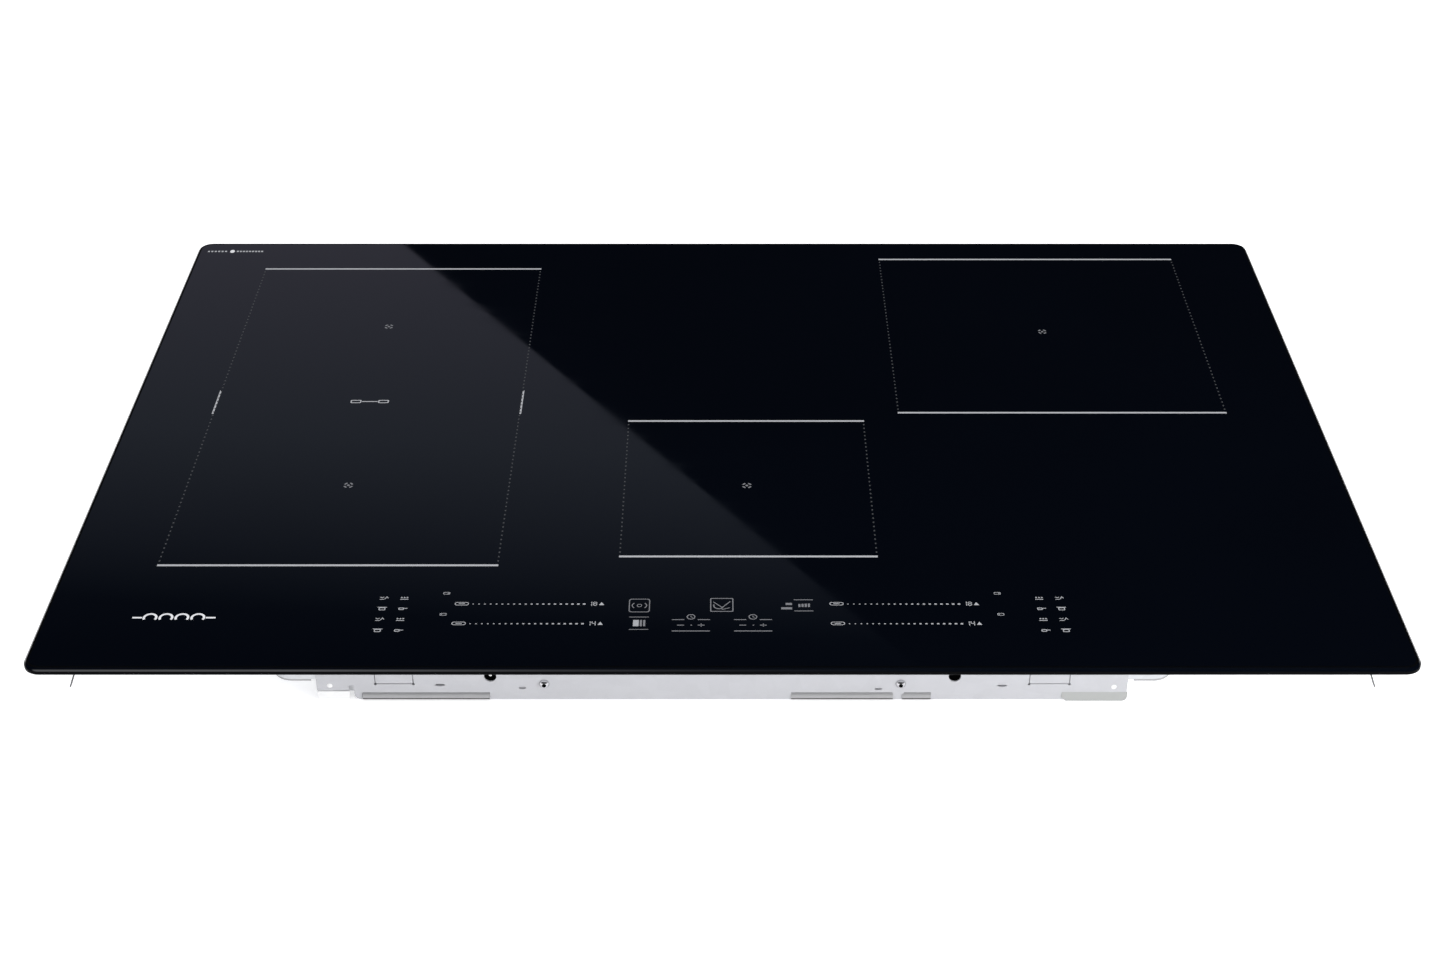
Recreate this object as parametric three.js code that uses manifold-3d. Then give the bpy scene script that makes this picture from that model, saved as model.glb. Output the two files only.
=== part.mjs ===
// A built-in induction hob, four zones, for a 750 x 490 mm worktop cutout.
// Millimetres, +Z up. X runs left to right, Y runs from the cook towards the wall.
// The origin is the middle of the glass panel, on the worktop's top surface.
import * as THREE from "three";
import { mergeVertices } from "three/addons/utils/BufferGeometryUtils.js";
import Module from "manifold-3d";

const wasm = await Module();
wasm.setup();

// ---------------------------------------------------------------- driving dimensions

const GLASS = { width: 770, depth: 510, thick: 4, corner: 10, bevel: 1.25, arris: 0.5 };
const SEAL = { thick: 1.5, width: 7, inset: 2, corner: 8 };
const OVERALL_HEIGHT = 54;
const SHEET = 1; // steel sheet of the pan, the deck and the bottom cover

const GLASS_BOTTOM = SEAL.thick;
const GLASS_TOP = GLASS_BOTTOM + GLASS.thick;
const BASE = GLASS_TOP - OVERALL_HEIGHT; // underside of the bottom cover
const PAN_BASE = -17; // underside of the wide, shallow coil pan
const TRAY_BASE = -35; // underside of the electronics tray
const COVER_FLOOR = BASE + SHEET;
const DECK_TOP = PAN_BASE + 2 * SHEET;
const BOARD_TOP = COVER_FLOOR + 4.5; // top of the power boards, which stand on 3 mm posts
const BOARD_THICK = 1.5;

// Plan areas, as lowest and highest x and y.
const PAN = { x0: -369.5, y0: -231, x1: 369.5, y1: 236 };
const PAN_OPENING = { x0: -240, y0: -196, x1: 240, y1: 190 };
const DECK = { x0: -248, y0: -172, x1: 248, y1: 198 };
const TRAY = { x0: -259, y0: -212.5, x1: 259, y1: 205 };
const TRAY_OPENING = { x0: -224, y0: -200, x1: 224, y1: 192 };
const COVER = { x0: -234, y0: -206, x1: 234, y1: 198 };

// Cooking zones: each coil stands under the centre mark of its zone.
const COILS = [
  { name: "left_rear", x: -230.5, y: 128.5, radius: 92 },
  { name: "left_front", x: -230.5, y: -71.5, radius: 92 },
  { name: "centre_front", x: 15, y: -71.8, radius: 72.5 },
  { name: "right_rear", x: 220, y: 121.3, radius: 102.5 },
];
// Heights in a coil stack, from the spring's foot to the top of the winding.
const COIL_PLATE_BASE = -9.5;
const COIL_PLATE_TOP = -8;
const WINDING_BASE = -4.5;
const WINDING_TOP = 0.5;
const WINDING_BORE = 21;

const MODULE_PITCH = 240; // the right power module repeats the left one this far along X
const FAN = { x: -100, y: 100, wall: 1.5, radius: 50, outlet: 62, base: COVER_FLOOR, top: -21 };

const BRACKET = { front: -214, thick: 1.25, top: -18, x0: -233, x1: 232.2 };
const BRACKET_EAR = { x1: -214.5, base: -41.8 }; // the short end at the left of the bracket
const BRACKET_GAP = { x1: -211.7, top: -38.5 }; // between the ear and the rest of the bracket
// What is punched in the bracket, as places in x and z.
const RIVET_HOLES = [
  { x: -225.3, z: -38.6 },
  { x: 224.6, z: -39.5 },
];
const SLITS = [
  { x: -162, z: -38.1, length: 5, height: 1.2 },
  { x: -114.8, z: -40.3, length: 4, height: 0.9 },
  { x: 89.4, z: -41, length: 4, height: 0.9 },
  { x: 160.4, z: -38.6, length: 5, height: 1.2 },
];
const TABS = [
  { x0: -199.3, x1: -177, z0: -37.4, z1: -30 },
  { x0: 175.6, x1: 199.1, z0: -37.4, z1: -30 },
];
const FRONT_SCREW = { x: 102.2, z: -37.2 };
const ACCESS_HOLE = { x: 132.9, z: -32, radius: 3.6 };
// Rolled hems of the bottom cover, which show through notches in the bracket's lower edge.
const HEMS = [
  { x0: -207, x1: -134 },
  { x0: 39.7, x1: 97.4 },
  { x0: 104.6, x1: 119.5 },
];
const HEM_TOP = -43.75;
const HEM_PLAY = 0.3;
const CLIP = { width: 18, tail: 4, thick: 0.8, root: 370, screwZ: -4.25, frontY: -209, rearY: 190 };
const TERMINALS = { x0: 268, y0: 110, x1: 348, y1: 176, wall: 2, base: -39 };
const TERMINALS_X = (TERMINALS.x0 + TERMINALS.x1) / 2;
// Slots in the tray's side wall and the terminal box, for the mains wires.
const WIRE_PASS = { y0: 118, y1: 128 };
const WIRE_PASS_HEIGHTS = [-32, -24];

// ---------------------------------------------------------------- materials

const standard = (color, roughness, metalness) =>
  new THREE.MeshStandardMaterial({ color, roughness, metalness });
const blackGlass = standard(0x05070c, 0.06, 0);
const foam = standard(0x161618, 0.95, 0);
const zincSteel = standard(0xc9cbd0, 0.45, 0.8);
const whiteSteel = standard(0xd6d7db, 0.5, 0.3);
const aluminium = standard(0xbfc2c6, 0.4, 0.9);
const springSteel = standard(0xb4b7bb, 0.3, 1);
const screwSteel = standard(0x9ea1a6, 0.3, 1);
const copper = standard(0xa85f2e, 0.4, 0.8);
const blackPlastic = standard(0x1b1c1e, 0.6, 0);
const whitePlastic = standard(0xdedcd4, 0.6, 0);
const boardGreen = standard(0x1d5a38, 0.5, 0);
const ferrite = standard(0x2b2b2e, 0.7, 0.2);
const filmBlue = standard(0x24407a, 0.5, 0);
const cableGrey = standard(0x8d9096, 0.6, 0);

// ---------------------------------------------------------------- solids and booleans

function toSolid(geometry) {
  const bare = new THREE.BufferGeometry();
  bare.setAttribute("position", geometry.getAttribute("position"));
  bare.setIndex(geometry.getIndex());
  const merged = mergeVertices(bare, 1e-4);
  const index = merged.getIndex().array;
  const kept = [];
  for (let i = 0; i < index.length; i += 3) {
    const [a, b, c] = [index[i], index[i + 1], index[i + 2]];
    if (a !== b && b !== c && c !== a) kept.push(a, b, c);
  }
  const build = (triangles) =>
    new wasm.Manifold(
      new wasm.Mesh({
        numProp: 3,
        vertProperties: merged.getAttribute("position").array,
        triVerts: new Uint32Array(triangles),
      }),
    );
  const made = build(kept);
  return made.volume() < 0 ? build(kept.reverse()) : made;
}

function toGeometry(solid) {
  const made = solid.getMesh();
  const positions = new Float32Array(made.numVert * 3);
  for (let i = 0; i < made.numVert; i++) {
    positions.set(made.vertProperties.subarray(i * made.numProp, i * made.numProp + 3), i * 3);
  }
  return new THREE.BufferGeometry()
    .setAttribute("position", new THREE.BufferAttribute(positions, 3))
    .setIndex(new THREE.BufferAttribute(made.triVerts, 1))
    .toNonIndexed();
}

const joined = (...pieces) => toGeometry(pieces.map(toSolid).reduce((a, b) => a.add(b)));

const cutBy = (body, ...tools) =>
  toGeometry(tools.map(toSolid).reduce((a, b) => a.subtract(b), toSolid(body)));

const closed = (geometry) => toGeometry(toSolid(geometry));

// ---------------------------------------------------------------- shapes

const grown = (area, by) => ({
  x0: area.x0 - by,
  y0: area.y0 - by,
  x1: area.x1 + by,
  y1: area.y1 + by,
});

const centred = (x, y, width, depth) => ({
  x0: x - width / 2,
  y0: y - depth / 2,
  x1: x + width / 2,
  y1: y + depth / 2,
});

// A rectangle with rounded corners, drawn into a Shape or a Path.
function roundedRect({ x0, y0, x1, y1 }, r, target = new THREE.Shape()) {
  target.moveTo(x0 + r, y0);
  target.lineTo(x1 - r, y0);
  target.absarc(x1 - r, y0 + r, r, -Math.PI / 2, 0, false);
  target.lineTo(x1, y1 - r);
  target.absarc(x1 - r, y1 - r, r, 0, Math.PI / 2, false);
  target.lineTo(x0 + r, y1);
  target.absarc(x0 + r, y1 - r, r, Math.PI / 2, Math.PI, false);
  target.lineTo(x0, y0 + r);
  target.absarc(x0 + r, y0 + r, r, Math.PI, 1.5 * Math.PI, false);
  return target;
}

function ring(outerArea, outerRadius, innerArea, innerRadius) {
  const shape = roundedRect(outerArea, outerRadius);
  shape.holes.push(roundedRect(innerArea, innerRadius, new THREE.Path()));
  return shape;
}

function polygon(points) {
  return new THREE.Shape(points.map(([x, y]) => new THREE.Vector2(x, y)));
}

function disc(x, y, radius) {
  return new THREE.Shape().absarc(x, y, radius, 0, 2 * Math.PI, false);
}

// Extrudes a plan shape from height z0 to z1. Each arc gets twice `segments` sides.
function prism(shape, z0, z1, segments = 2) {
  const options = { depth: z1 - z0, bevelEnabled: false, curveSegments: segments };
  return new THREE.ExtrudeGeometry(shape, options).translate(0, 0, z0);
}

// Extrudes a shape drawn in x and z from y0 to y1.
function prismY(shape, y0, y1, segments = 2) {
  const options = { depth: y1 - y0, bevelEnabled: false, curveSegments: segments };
  return new THREE.ExtrudeGeometry(shape, options).rotateX(Math.PI / 2).translate(0, y1, 0);
}

// Extrudes a section drawn in y and z from x0 to x1.
function sectionAlongX(shape, x0, x1, segments = 2) {
  const options = { depth: x1 - x0, bevelEnabled: false, curveSegments: segments };
  return new THREE.ExtrudeGeometry(shape, options)
    .rotateX(Math.PI / 2)
    .rotateZ(Math.PI / 2)
    .translate(x0, 0, 0);
}

const slab = (area, z0, z1, r = 0) =>
  r > 0
    ? prism(roundedRect(area, r), z0, z1)
    : new THREE.BoxGeometry(area.x1 - area.x0, area.y1 - area.y0, z1 - z0).translate(
        (area.x0 + area.x1) / 2,
        (area.y0 + area.y1) / 2,
        (z0 + z1) / 2,
      );

const rod = (x, y, radius, z0, z1, segments = 16) =>
  new THREE.CylinderGeometry(radius, radius, z1 - z0, segments)
    .rotateX(Math.PI / 2)
    .translate(x, y, (z0 + z1) / 2);

const alongX = (radius, x0, x1, y, z, segments = 12) =>
  new THREE.CylinderGeometry(radius, radius, x1 - x0, segments)
    .rotateZ(Math.PI / 2)
    .translate((x0 + x1) / 2, y, z);

const alongY = (radius, y0, y1, x, z, segments = 12) =>
  new THREE.CylinderGeometry(radius, radius, y1 - y0, segments).translate(x, (y0 + y1) / 2, z);

// Turns a profile of [radius, z] pairs about the Z axis.
function turned(profile, segments) {
  const points = profile.map(([r, z]) => new THREE.Vector2(r, z));
  return new THREE.LatheGeometry(points, segments).rotateX(Math.PI / 2);
}

// An open-topped sheet pan with walls and floor of one thickness.
function sheetPan(area, r, z0, z1, thick) {
  return cutBy(slab(area, z0, z1, r), slab(grown(area, -thick), z0 + thick, z1 + 5, r - thick));
}

// A row of slots with round ends, each lying along X or Y, spaced along the other axis.
function slotRow({ x, y, length, width, count, pitch, along }, z0, z1) {
  return Array.from({ length: count }, (_, i) => {
    const shift = (i - (count - 1) / 2) * pitch;
    const area =
      along === "x" ? centred(x, y + shift, length, width) : centred(x + shift, y, width, length);
    return prism(roundedRect(area, width / 2 - 0.01), z0, z1, 1);
  });
}

// ---------------------------------------------------------------- the assembly

const hob = new THREE.Group();

function place(name, geometry, material, position = [0, 0, 0], parent = hob) {
  const mesh = new THREE.Mesh(geometry, material);
  mesh.name = name;
  mesh.position.set(...position);
  parent.add(mesh);
  return mesh;
}

// ---------------------------------------------------------------- glass and seal

const GLASS_AREA = centred(0, 0, GLASS.width, GLASS.depth);

// Joins outlines of equal point count, one per level, into a closed solid.
function stacked(levels) {
  const count = levels[0].points.length;
  const positions = levels.flatMap(({ z, points }) => points.flatMap((p) => [p.x, p.y, z]));
  const index = [];
  for (let level = 0; level + 1 < levels.length; level++) {
    for (let i = 0; i < count; i++) {
      const a = level * count + i;
      const b = level * count + ((i + 1) % count);
      index.push(a, b, b + count, a, b + count, a + count);
    }
  }
  const last = (levels.length - 1) * count;
  for (const [a, b, c] of THREE.ShapeUtils.triangulateShape(levels[0].points, [])) {
    index.push(c, b, a);
  }
  for (const [a, b, c] of THREE.ShapeUtils.triangulateShape(levels.at(-1).points, [])) {
    index.push(last + a, last + b, last + c);
  }
  return new THREE.BufferGeometry()
    .setAttribute("position", new THREE.BufferAttribute(new Float32Array(positions), 3))
    .setIndex(index);
}

function glassPanel() {
  const outline = (inset) =>
    roundedRect(grown(GLASS_AREA, -inset), GLASS.corner - inset).extractPoints(5).shape.slice(0, -1);
  return closed(
    stacked([
      { z: GLASS_BOTTOM, points: outline(GLASS.arris) },
      { z: GLASS_BOTTOM + GLASS.arris, points: outline(0) },
      { z: GLASS_TOP - GLASS.bevel, points: outline(0) },
      { z: GLASS_TOP, points: outline(GLASS.bevel) },
    ]),
  );
}

function perimeterSeal() {
  const outer = grown(GLASS_AREA, -SEAL.inset);
  const inner = grown(outer, -SEAL.width);
  return closed(prism(ring(outer, SEAL.corner, inner, SEAL.corner / 4), 0, SEAL.thick));
}

place("glass_panel", glassPanel(), blackGlass);
place("perimeter_seal", perimeterSeal(), foam);

// ---------------------------------------------------------------- pan, deck, tray and cover

const CLIP_SITES = [
  { name: "front_left", side: -1, y: CLIP.frontY },
  { name: "front_right", side: 1, y: CLIP.frontY },
  { name: "rear_left", side: -1, y: CLIP.rearY },
  { name: "rear_right", side: 1, y: CLIP.rearY },
];

const SCREW_HOLE = 1.8;

function coilPan() {
  const corner = 14;
  const lip = 4.5; // flange bonded to the underside of the glass
  const body = sheetPan(PAN, corner, PAN_BASE, GLASS_BOTTOM, SHEET);
  const flange = prism(
    ring(grown(PAN, lip), corner + lip, grown(PAN, -SHEET / 2), corner - SHEET / 2),
    GLASS_BOTTOM - SHEET,
    GLASS_BOTTOM,
  );
  const clipHoles = CLIP_SITES.map(({ side, y }) =>
    alongX(SCREW_HOLE, side * PAN.x1 - 3, side * PAN.x1 + 3, y, CLIP.screwZ, 10),
  );
  const wing = { y: -20, length: 66, width: 5, count: 5, pitch: 15, along: "x" };
  const vents = [-1, 1].flatMap((side) =>
    slotRow({ ...wing, x: side * 310 }, PAN_BASE - 1, PAN_BASE + 2),
  );
  return cutBy(
    joined(body, flange),
    slab(PAN_OPENING, PAN_BASE - 1, PAN_BASE + 2, 6),
    ...clipHoles,
    ...vents,
  );
}

function coilDeck() {
  const deck = slab(DECK, PAN_BASE + SHEET, DECK_TOP, 6);
  const through = [PAN_BASE - 3, DECK_TOP + 5];
  const slotCorner = 5;
  const leadSlots = COILS.map(({ x, y }) => slab(centred(x, y - 45, 30, 14), ...through, slotCorner));
  const mainsSlot = slab(centred(110, 110, 120, 16), ...through, slotCorner);
  return cutBy(deck, ...leadSlots, mainsSlot);
}

function electronicsTray() {
  const corner = 12;
  const thick = 1.25;
  const body = sheetPan(TRAY, corner, TRAY_BASE, PAN_BASE, thick);
  const lip = 6; // flange screwed under the pan, on the sides and the back only
  const flangeArea = { ...grown(TRAY, lip), y0: TRAY.y0 + corner };
  const flange = cutBy(
    slab(flangeArea, PAN_BASE - thick, PAN_BASE),
    slab(grown(TRAY, -thick / 2), PAN_BASE - 5, PAN_BASE + 5, corner - thick / 2),
  );
  const opening = slab(TRAY_OPENING, TRAY_BASE - 1, TRAY_BASE + 3, 6);
  const wirePass = slab({ ...WIRE_PASS, x0: TRAY.x1 - 5, x1: TRAY.x1 + 1 }, ...WIRE_PASS_HEIGHTS);
  const accessRadius = 5;
  const accessZ = TRAY_BASE + accessRadius + 1.6;
  const access = [-1, 1].map((side) =>
    alongY(accessRadius, TRAY.y0 - 1, TRAY.y0 + 5, side * ACCESS_HOLE.x, accessZ, 14),
  );
  return cutBy(joined(body, flange), opening, wirePass, ...access);
}

// Slots on rings round a fan inlet, with spokes left between them.
function inletGrille(x, y, z0, z1) {
  const slotWidth = 6;
  const spokes = 5;
  return [14, 24].flatMap((radius) =>
    Array.from({ length: spokes }, (_, i) => {
      const half = Math.PI / spokes - 2.5 / radius;
      const middle = (2 * Math.PI * i) / spokes;
      const shape = new THREE.Shape();
      shape.absarc(x, y, radius + slotWidth / 2, middle - half, middle + half, false);
      shape.absarc(x, y, radius - slotWidth / 2, middle + half, middle - half, true);
      return prism(shape, z0, z1, 2);
    }),
  );
}

const FAN_CENTRES = [FAN.x, FAN.x + MODULE_PITCH];
const BOARD = { x0: -226, y0: -110, x1: -14, y1: 36 };
const FILTER = { x0: -38, y0: 52, x1: 78, y1: 186 };

const moved = (area, dx) => ({ ...area, x0: area.x0 + dx, x1: area.x1 + dx });

function boardPosts(area) {
  const inset = grown(area, -8);
  return [inset.x0, inset.x1].flatMap((x) =>
    [inset.y0, inset.y1].map((y) => rod(x, y, 4, COVER_FLOOR - 0.5, BOARD_TOP - BOARD_THICK, 10)),
  );
}

function bottomCover() {
  const corner = 10;
  const body = sheetPan(COVER, corner, BASE, TRAY_BASE, SHEET);
  const lip = 6;
  const flange = cutBy(
    slab({ ...grown(COVER, lip), y0: COVER.y0 + corner }, TRAY_BASE - SHEET, TRAY_BASE),
    slab(grown(COVER, -SHEET / 2), TRAY_BASE - 5, TRAY_BASE + 5, corner - SHEET / 2),
  );
  const boards = [BOARD, moved(BOARD, MODULE_PITCH), FILTER];
  const posts = boards.flatMap(boardPosts);
  const plateBack = BRACKET.front + BRACKET.thick;
  const bossRadius = 3.9;
  const bossTrim = slab(
    { x0: COVER.x0, x1: COVER.x1, y0: plateBack - 1, y1: COVER.y0 + SHEET + 1 },
    TRAY_BASE - 0.3,
    TRAY_BASE + bossRadius,
  );
  const bosses = [-1, 1].map((side) =>
    cutBy(
      alongY(bossRadius, plateBack, COVER.y0 + SHEET, side * FRONT_SCREW.x, FRONT_SCREW.z, 14),
      bossTrim,
    ),
  );
  const hemFront = BRACKET.front + 0.6;
  const roll = 1.8;
  const hems = HEMS.map(({ x0, x1 }) => {
    const section = new THREE.Shape(); // drawn in y and z
    section.moveTo(COVER.y0 + SHEET / 2, BASE);
    section.lineTo(COVER.y0 + SHEET / 2, HEM_TOP);
    section.lineTo(hemFront + roll / 2, HEM_TOP);
    section.absarc(hemFront + roll / 2, HEM_TOP - roll / 2, roll / 2, Math.PI / 2, Math.PI, false);
    section.lineTo(hemFront, BASE + roll);
    section.absarc(hemFront + roll, BASE + roll, roll, Math.PI, 1.5 * Math.PI, false);
    return sectionAlongX(section, x0, x1);
  });
  const floorCut = [BASE - 1, COVER_FLOOR + 1];
  const outlet = { y: -150, length: 46, width: 5, count: 7, pitch: 18, along: "y" };
  const screwHoles = [-1, 1].map((side) =>
    alongY(SCREW_HOLE, plateBack - 1, COVER.y0 + 5, side * FRONT_SCREW.x, FRONT_SCREW.z, 10),
  );
  return cutBy(
    joined(body, flange, ...posts, ...bosses, ...hems),
    ...FAN_CENTRES.flatMap((x) => inletGrille(x, FAN.y, ...floorCut)),
    ...slotRow({ ...outlet, x: -120 }, ...floorCut),
    ...slotRow({ ...outlet, x: 120 }, ...floorCut),
    ...screwHoles,
  );
}

place("coil_pan", coilPan(), zincSteel);
place("coil_deck", coilDeck(), aluminium);
place("electronics_tray", electronicsTray(), zincSteel);
place("bottom_cover", bottomCover(), zincSteel);

// ---------------------------------------------------------------- front bracket and its screws

const PUNCH = [BRACKET.front - 4, BRACKET.front + 4]; // how far a punch reaches, in y

const punchedBox = (x0, z0, x1, z1) =>
  slab({ x0, x1, y0: PUNCH[0], y1: PUNCH[1] }, z0, z1);

// A punched tab: a U-shaped slit with a relief hole at each lower corner.
function tabSlit({ x0, x1, z0, z1 }) {
  const width = 0.5;
  const relief = (x) => alongY(0.9, ...PUNCH, x, z0, 8);
  return joined(
    punchedBox(x0, z0, x0 + width, z1),
    punchedBox(x1 - width, z0, x1, z1),
    punchedBox(x0, z0, x1, z0 + width),
    relief(x0 + width / 2),
    relief(x1 - width / 2),
  );
}

function frontBracket() {
  const { front, thick, top, x0, x1 } = BRACKET;
  const gap = { x0: BRACKET_EAR.x1, ...BRACKET_GAP };
  const step = 4; // radius of the lower corners
  const outline = new THREE.Shape();
  outline.moveTo(x0, top);
  outline.lineTo(x0, BRACKET_EAR.base);
  outline.lineTo(gap.x0, BRACKET_EAR.base);
  outline.lineTo(gap.x0, gap.top);
  outline.lineTo(gap.x1, gap.top);
  outline.lineTo(gap.x1, BASE + step);
  outline.absarc(gap.x1 + step, BASE + step, step, Math.PI, 1.5 * Math.PI, false);
  outline.lineTo(x1 - step, BASE);
  outline.absarc(x1 - step, BASE + step, step, -Math.PI / 2, 0, false);
  outline.lineTo(x1, top);
  const plate = prismY(outline, front, front + thick, 3);

  const notches = HEMS.map((hem) =>
    slab(
      { x0: hem.x0 - HEM_PLAY, x1: hem.x1 + HEM_PLAY, y0: front - 1, y1: front + thick + 1 },
      BASE - 1,
      HEM_TOP + HEM_PLAY,
    ),
  );

  const round = (x, z, radius) => alongY(radius, ...PUNCH, x, z, 14);
  const holes = [
    ...[-1, 1].map((side) => round(side * ACCESS_HOLE.x, ACCESS_HOLE.z, ACCESS_HOLE.radius)),
    ...[-1, 1].map((side) => round(side * FRONT_SCREW.x, FRONT_SCREW.z, SCREW_HOLE)),
    ...RIVET_HOLES.map(({ x, z }) => round(x, z, 1.7)),
    ...SLITS.map(({ x, z, length, height }) =>
      punchedBox(x - length / 2, z - height / 2, x + length / 2, z + height / 2),
    ),
    ...TABS.map(tabSlit),
  ];
  return cutBy(plate, ...notches, ...holes);
}

// A pan-head screw with a cross recess, its head on +Z and its shank below z = 0.
function screw(headRadius, headHeight, shankRadius, shankLength) {
  const shaped = turned(
    [
      [0, -shankLength],
      [shankRadius * 0.4, -shankLength],
      [shankRadius, -shankLength + 1.5],
      [shankRadius, 0],
      [headRadius, 0],
      [headRadius, headHeight * 0.55],
      [headRadius * 0.7, headHeight],
      [0, headHeight],
    ],
    12,
  );
  const bar = (w, d) => new THREE.BoxGeometry(w, d, headHeight).translate(0, 0, headHeight);
  const recess = 0.9; // width of each arm of the cross
  return cutBy(shaped, joined(bar(headRadius, recess), bar(recess, headRadius)));
}

place("front_bracket", frontBracket(), whiteSteel);
for (const [name, side] of [
  ["front_screw_left", -1],
  ["front_screw_right", 1],
]) {
  const turnedForward = screw(3.1, 2.3, 1.6, 10).rotateX(Math.PI / 2);
  place(name, turnedForward, screwSteel, [side * FRONT_SCREW.x, BRACKET.front, FRONT_SCREW.z]);
}

// ---------------------------------------------------------------- side clips

// Heights along a clip's leaf, and how far it stands off the pan at its joggle and at its tip.
const LEAF = { top: -1, foot: -7.5, joggle: -10, taper: -19, tail: -31, knee: -32.5, tip: -41.9 };
const LEAF_STANDS_OFF = { joggle: 1.4, tip: 5 };

function sideClip() {
  const x = CLIP.root;
  const inner = [
    [x, LEAF.top],
    [x, LEAF.foot],
    [x + LEAF_STANDS_OFF.joggle, LEAF.joggle],
    [x + LEAF_STANDS_OFF.joggle, LEAF.knee],
    [x + LEAF_STANDS_OFF.tip, LEAF.tip],
  ];
  const outer = inner.map(([px, pz]) => [px + CLIP.thick, pz]).reverse();
  const leaf = prismY(polygon([...inner, ...outer]), -CLIP.width / 2, CLIP.width / 2);
  // The leaf narrows to its tail: each wedge is drawn in x and y, where x stands for height.
  const waste = [-1, 1].map((edge) => {
    const wedge = polygon([
      [LEAF.taper, edge * (CLIP.width / 2 + 1)],
      [LEAF.taper, (edge * CLIP.width) / 2],
      [LEAF.tail, (edge * CLIP.tail) / 2],
      [LEAF.tip - 1, (edge * CLIP.tail) / 2],
      [LEAF.tip - 1, edge * (CLIP.width / 2 + 1)],
    ]);
    return prism(wedge, -x - 10, -x + 3).rotateY(-Math.PI / 2);
  });
  return cutBy(leaf, alongX(2.6, x - 3, x + 3, 0, CLIP.screwZ), ...waste);
}

for (const { name, side, y } of CLIP_SITES) {
  const mirror = side < 0 ? closed(sideClip().rotateZ(Math.PI)) : sideClip();
  place(`side_clip_${name}`, mirror, springSteel, [0, y, 0]);
  const headSeat = CLIP.root + CLIP.thick + 0.4; // the leaf needs this play to tilt
  const sideways = screw(3, 1.8, 1.5, 7).rotateY((side * Math.PI) / 2);
  place(`clip_screw_${name}`, sideways, screwSteel, [side * headSeat, y, CLIP.screwZ]);
}

// ---------------------------------------------------------------- coils

function winding(radius) {
  const c = 1; // rounded shoulders of the wound litz wire
  return turned(
    [
      [WINDING_BORE, WINDING_BASE],
      [radius, WINDING_BASE],
      [radius, WINDING_TOP - c],
      [radius - c, WINDING_TOP],
      [WINDING_BORE + c, WINDING_TOP],
      [WINDING_BORE, WINDING_TOP - c],
      [WINDING_BORE, WINDING_BASE],
    ],
    24,
  );
}

// A disc with a raised rim round the winding and a collar round the sensor.
function former(radius) {
  const rim = radius + 0.5;
  return turned(
    [
      [17, COIL_PLATE_TOP],
      [rim + 1.5, COIL_PLATE_TOP],
      [rim + 1.5, WINDING_BASE + 2],
      [rim, WINDING_BASE + 2],
      [rim, WINDING_BASE],
      [17, WINDING_BASE],
      [17, COIL_PLATE_TOP],
    ],
    24,
  );
}

function coilPlate(radius) {
  const edge = radius + 4;
  const body = prism(disc(0, 0, edge), COIL_PLATE_BASE, COIL_PLATE_TOP, 14);
  const holes = Array.from({ length: 4 }, (_, i) => {
    const angle = (Math.PI / 2) * (i + 0.5);
    return rod(Math.cos(angle) * edge * 0.6, Math.sin(angle) * edge * 0.6, 5, -12, -6, 6);
  });
  return cutBy(body, ...holes);
}

function sensor() {
  return turned(
    [
      [0, COIL_PLATE_TOP],
      [14, COIL_PLATE_TOP],
      [14, COIL_PLATE_TOP + 2],
      [8, COIL_PLATE_TOP + 3],
      [8, WINDING_TOP - 0.5],
      [5, WINDING_TOP + 0.25],
      [0, WINDING_TOP + 0.25],
    ],
    16,
  );
}

class Helix extends THREE.Curve {
  constructor(radius, z0, z1, turns) {
    super();
    Object.assign(this, { radius, z0, z1, turns });
  }
  getPoint(t) {
    const angle = t * this.turns * 2 * Math.PI;
    return new THREE.Vector3(
      Math.cos(angle) * this.radius,
      Math.sin(angle) * this.radius,
      this.z0 + t * (this.z1 - this.z0),
    );
  }
}

function coilSpring() {
  const wire = 0.6;
  const play = 0.05; // keeps the end turns just off the deck and the plate
  const path = new Helix(9, DECK_TOP + wire + play, COIL_PLATE_BASE - wire - play, 2);
  const section = new THREE.Shape();
  section.absarc(0, 0, wire, 0, 2 * Math.PI, false);
  const options = { steps: 22, extrudePath: path, bevelEnabled: false, curveSegments: 3 };
  return closed(new THREE.ExtrudeGeometry(section, options));
}

for (const { name, x, y, radius } of COILS) {
  place(`${name}_winding`, closed(winding(radius)), copper, [x, y, 0]);
  place(`${name}_former`, closed(former(radius)), ferrite, [x, y, 0]);
  place(`${name}_plate`, coilPlate(radius), aluminium, [x, y, 0]);
  place(`${name}_sensor`, closed(sensor()), whitePlastic, [x, y, 0]);
  place(`${name}_spring`, coilSpring(), springSteel, [x, y, 0]);
}

// ---------------------------------------------------------------- touch controls

const TOUCH = { x0: -212, y0: -227, x1: 212, y1: -178 };
const TOUCH_BOARD_BASE = -6.5;
const TOUCH_BOARD_TOP = TOUCH_BOARD_BASE + BOARD_THICK;

function touchCarrier() {
  const base = TOUCH_BOARD_BASE - 2.5;
  const legs = [-206, 206].flatMap((x) =>
    [-221, -201].map((y) => slab(centred(x, y, 6, 6), PAN_BASE + SHEET, base + 1)),
  );
  return cutBy(
    joined(slab(TOUCH, base, TOUCH_BOARD_TOP + 2, 4), ...legs),
    slab(grown(TOUCH, -8), base + 1.5, 0),
    slab(grown(TOUCH, -3), TOUCH_BOARD_BASE, 0, 1.5),
  );
}

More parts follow.
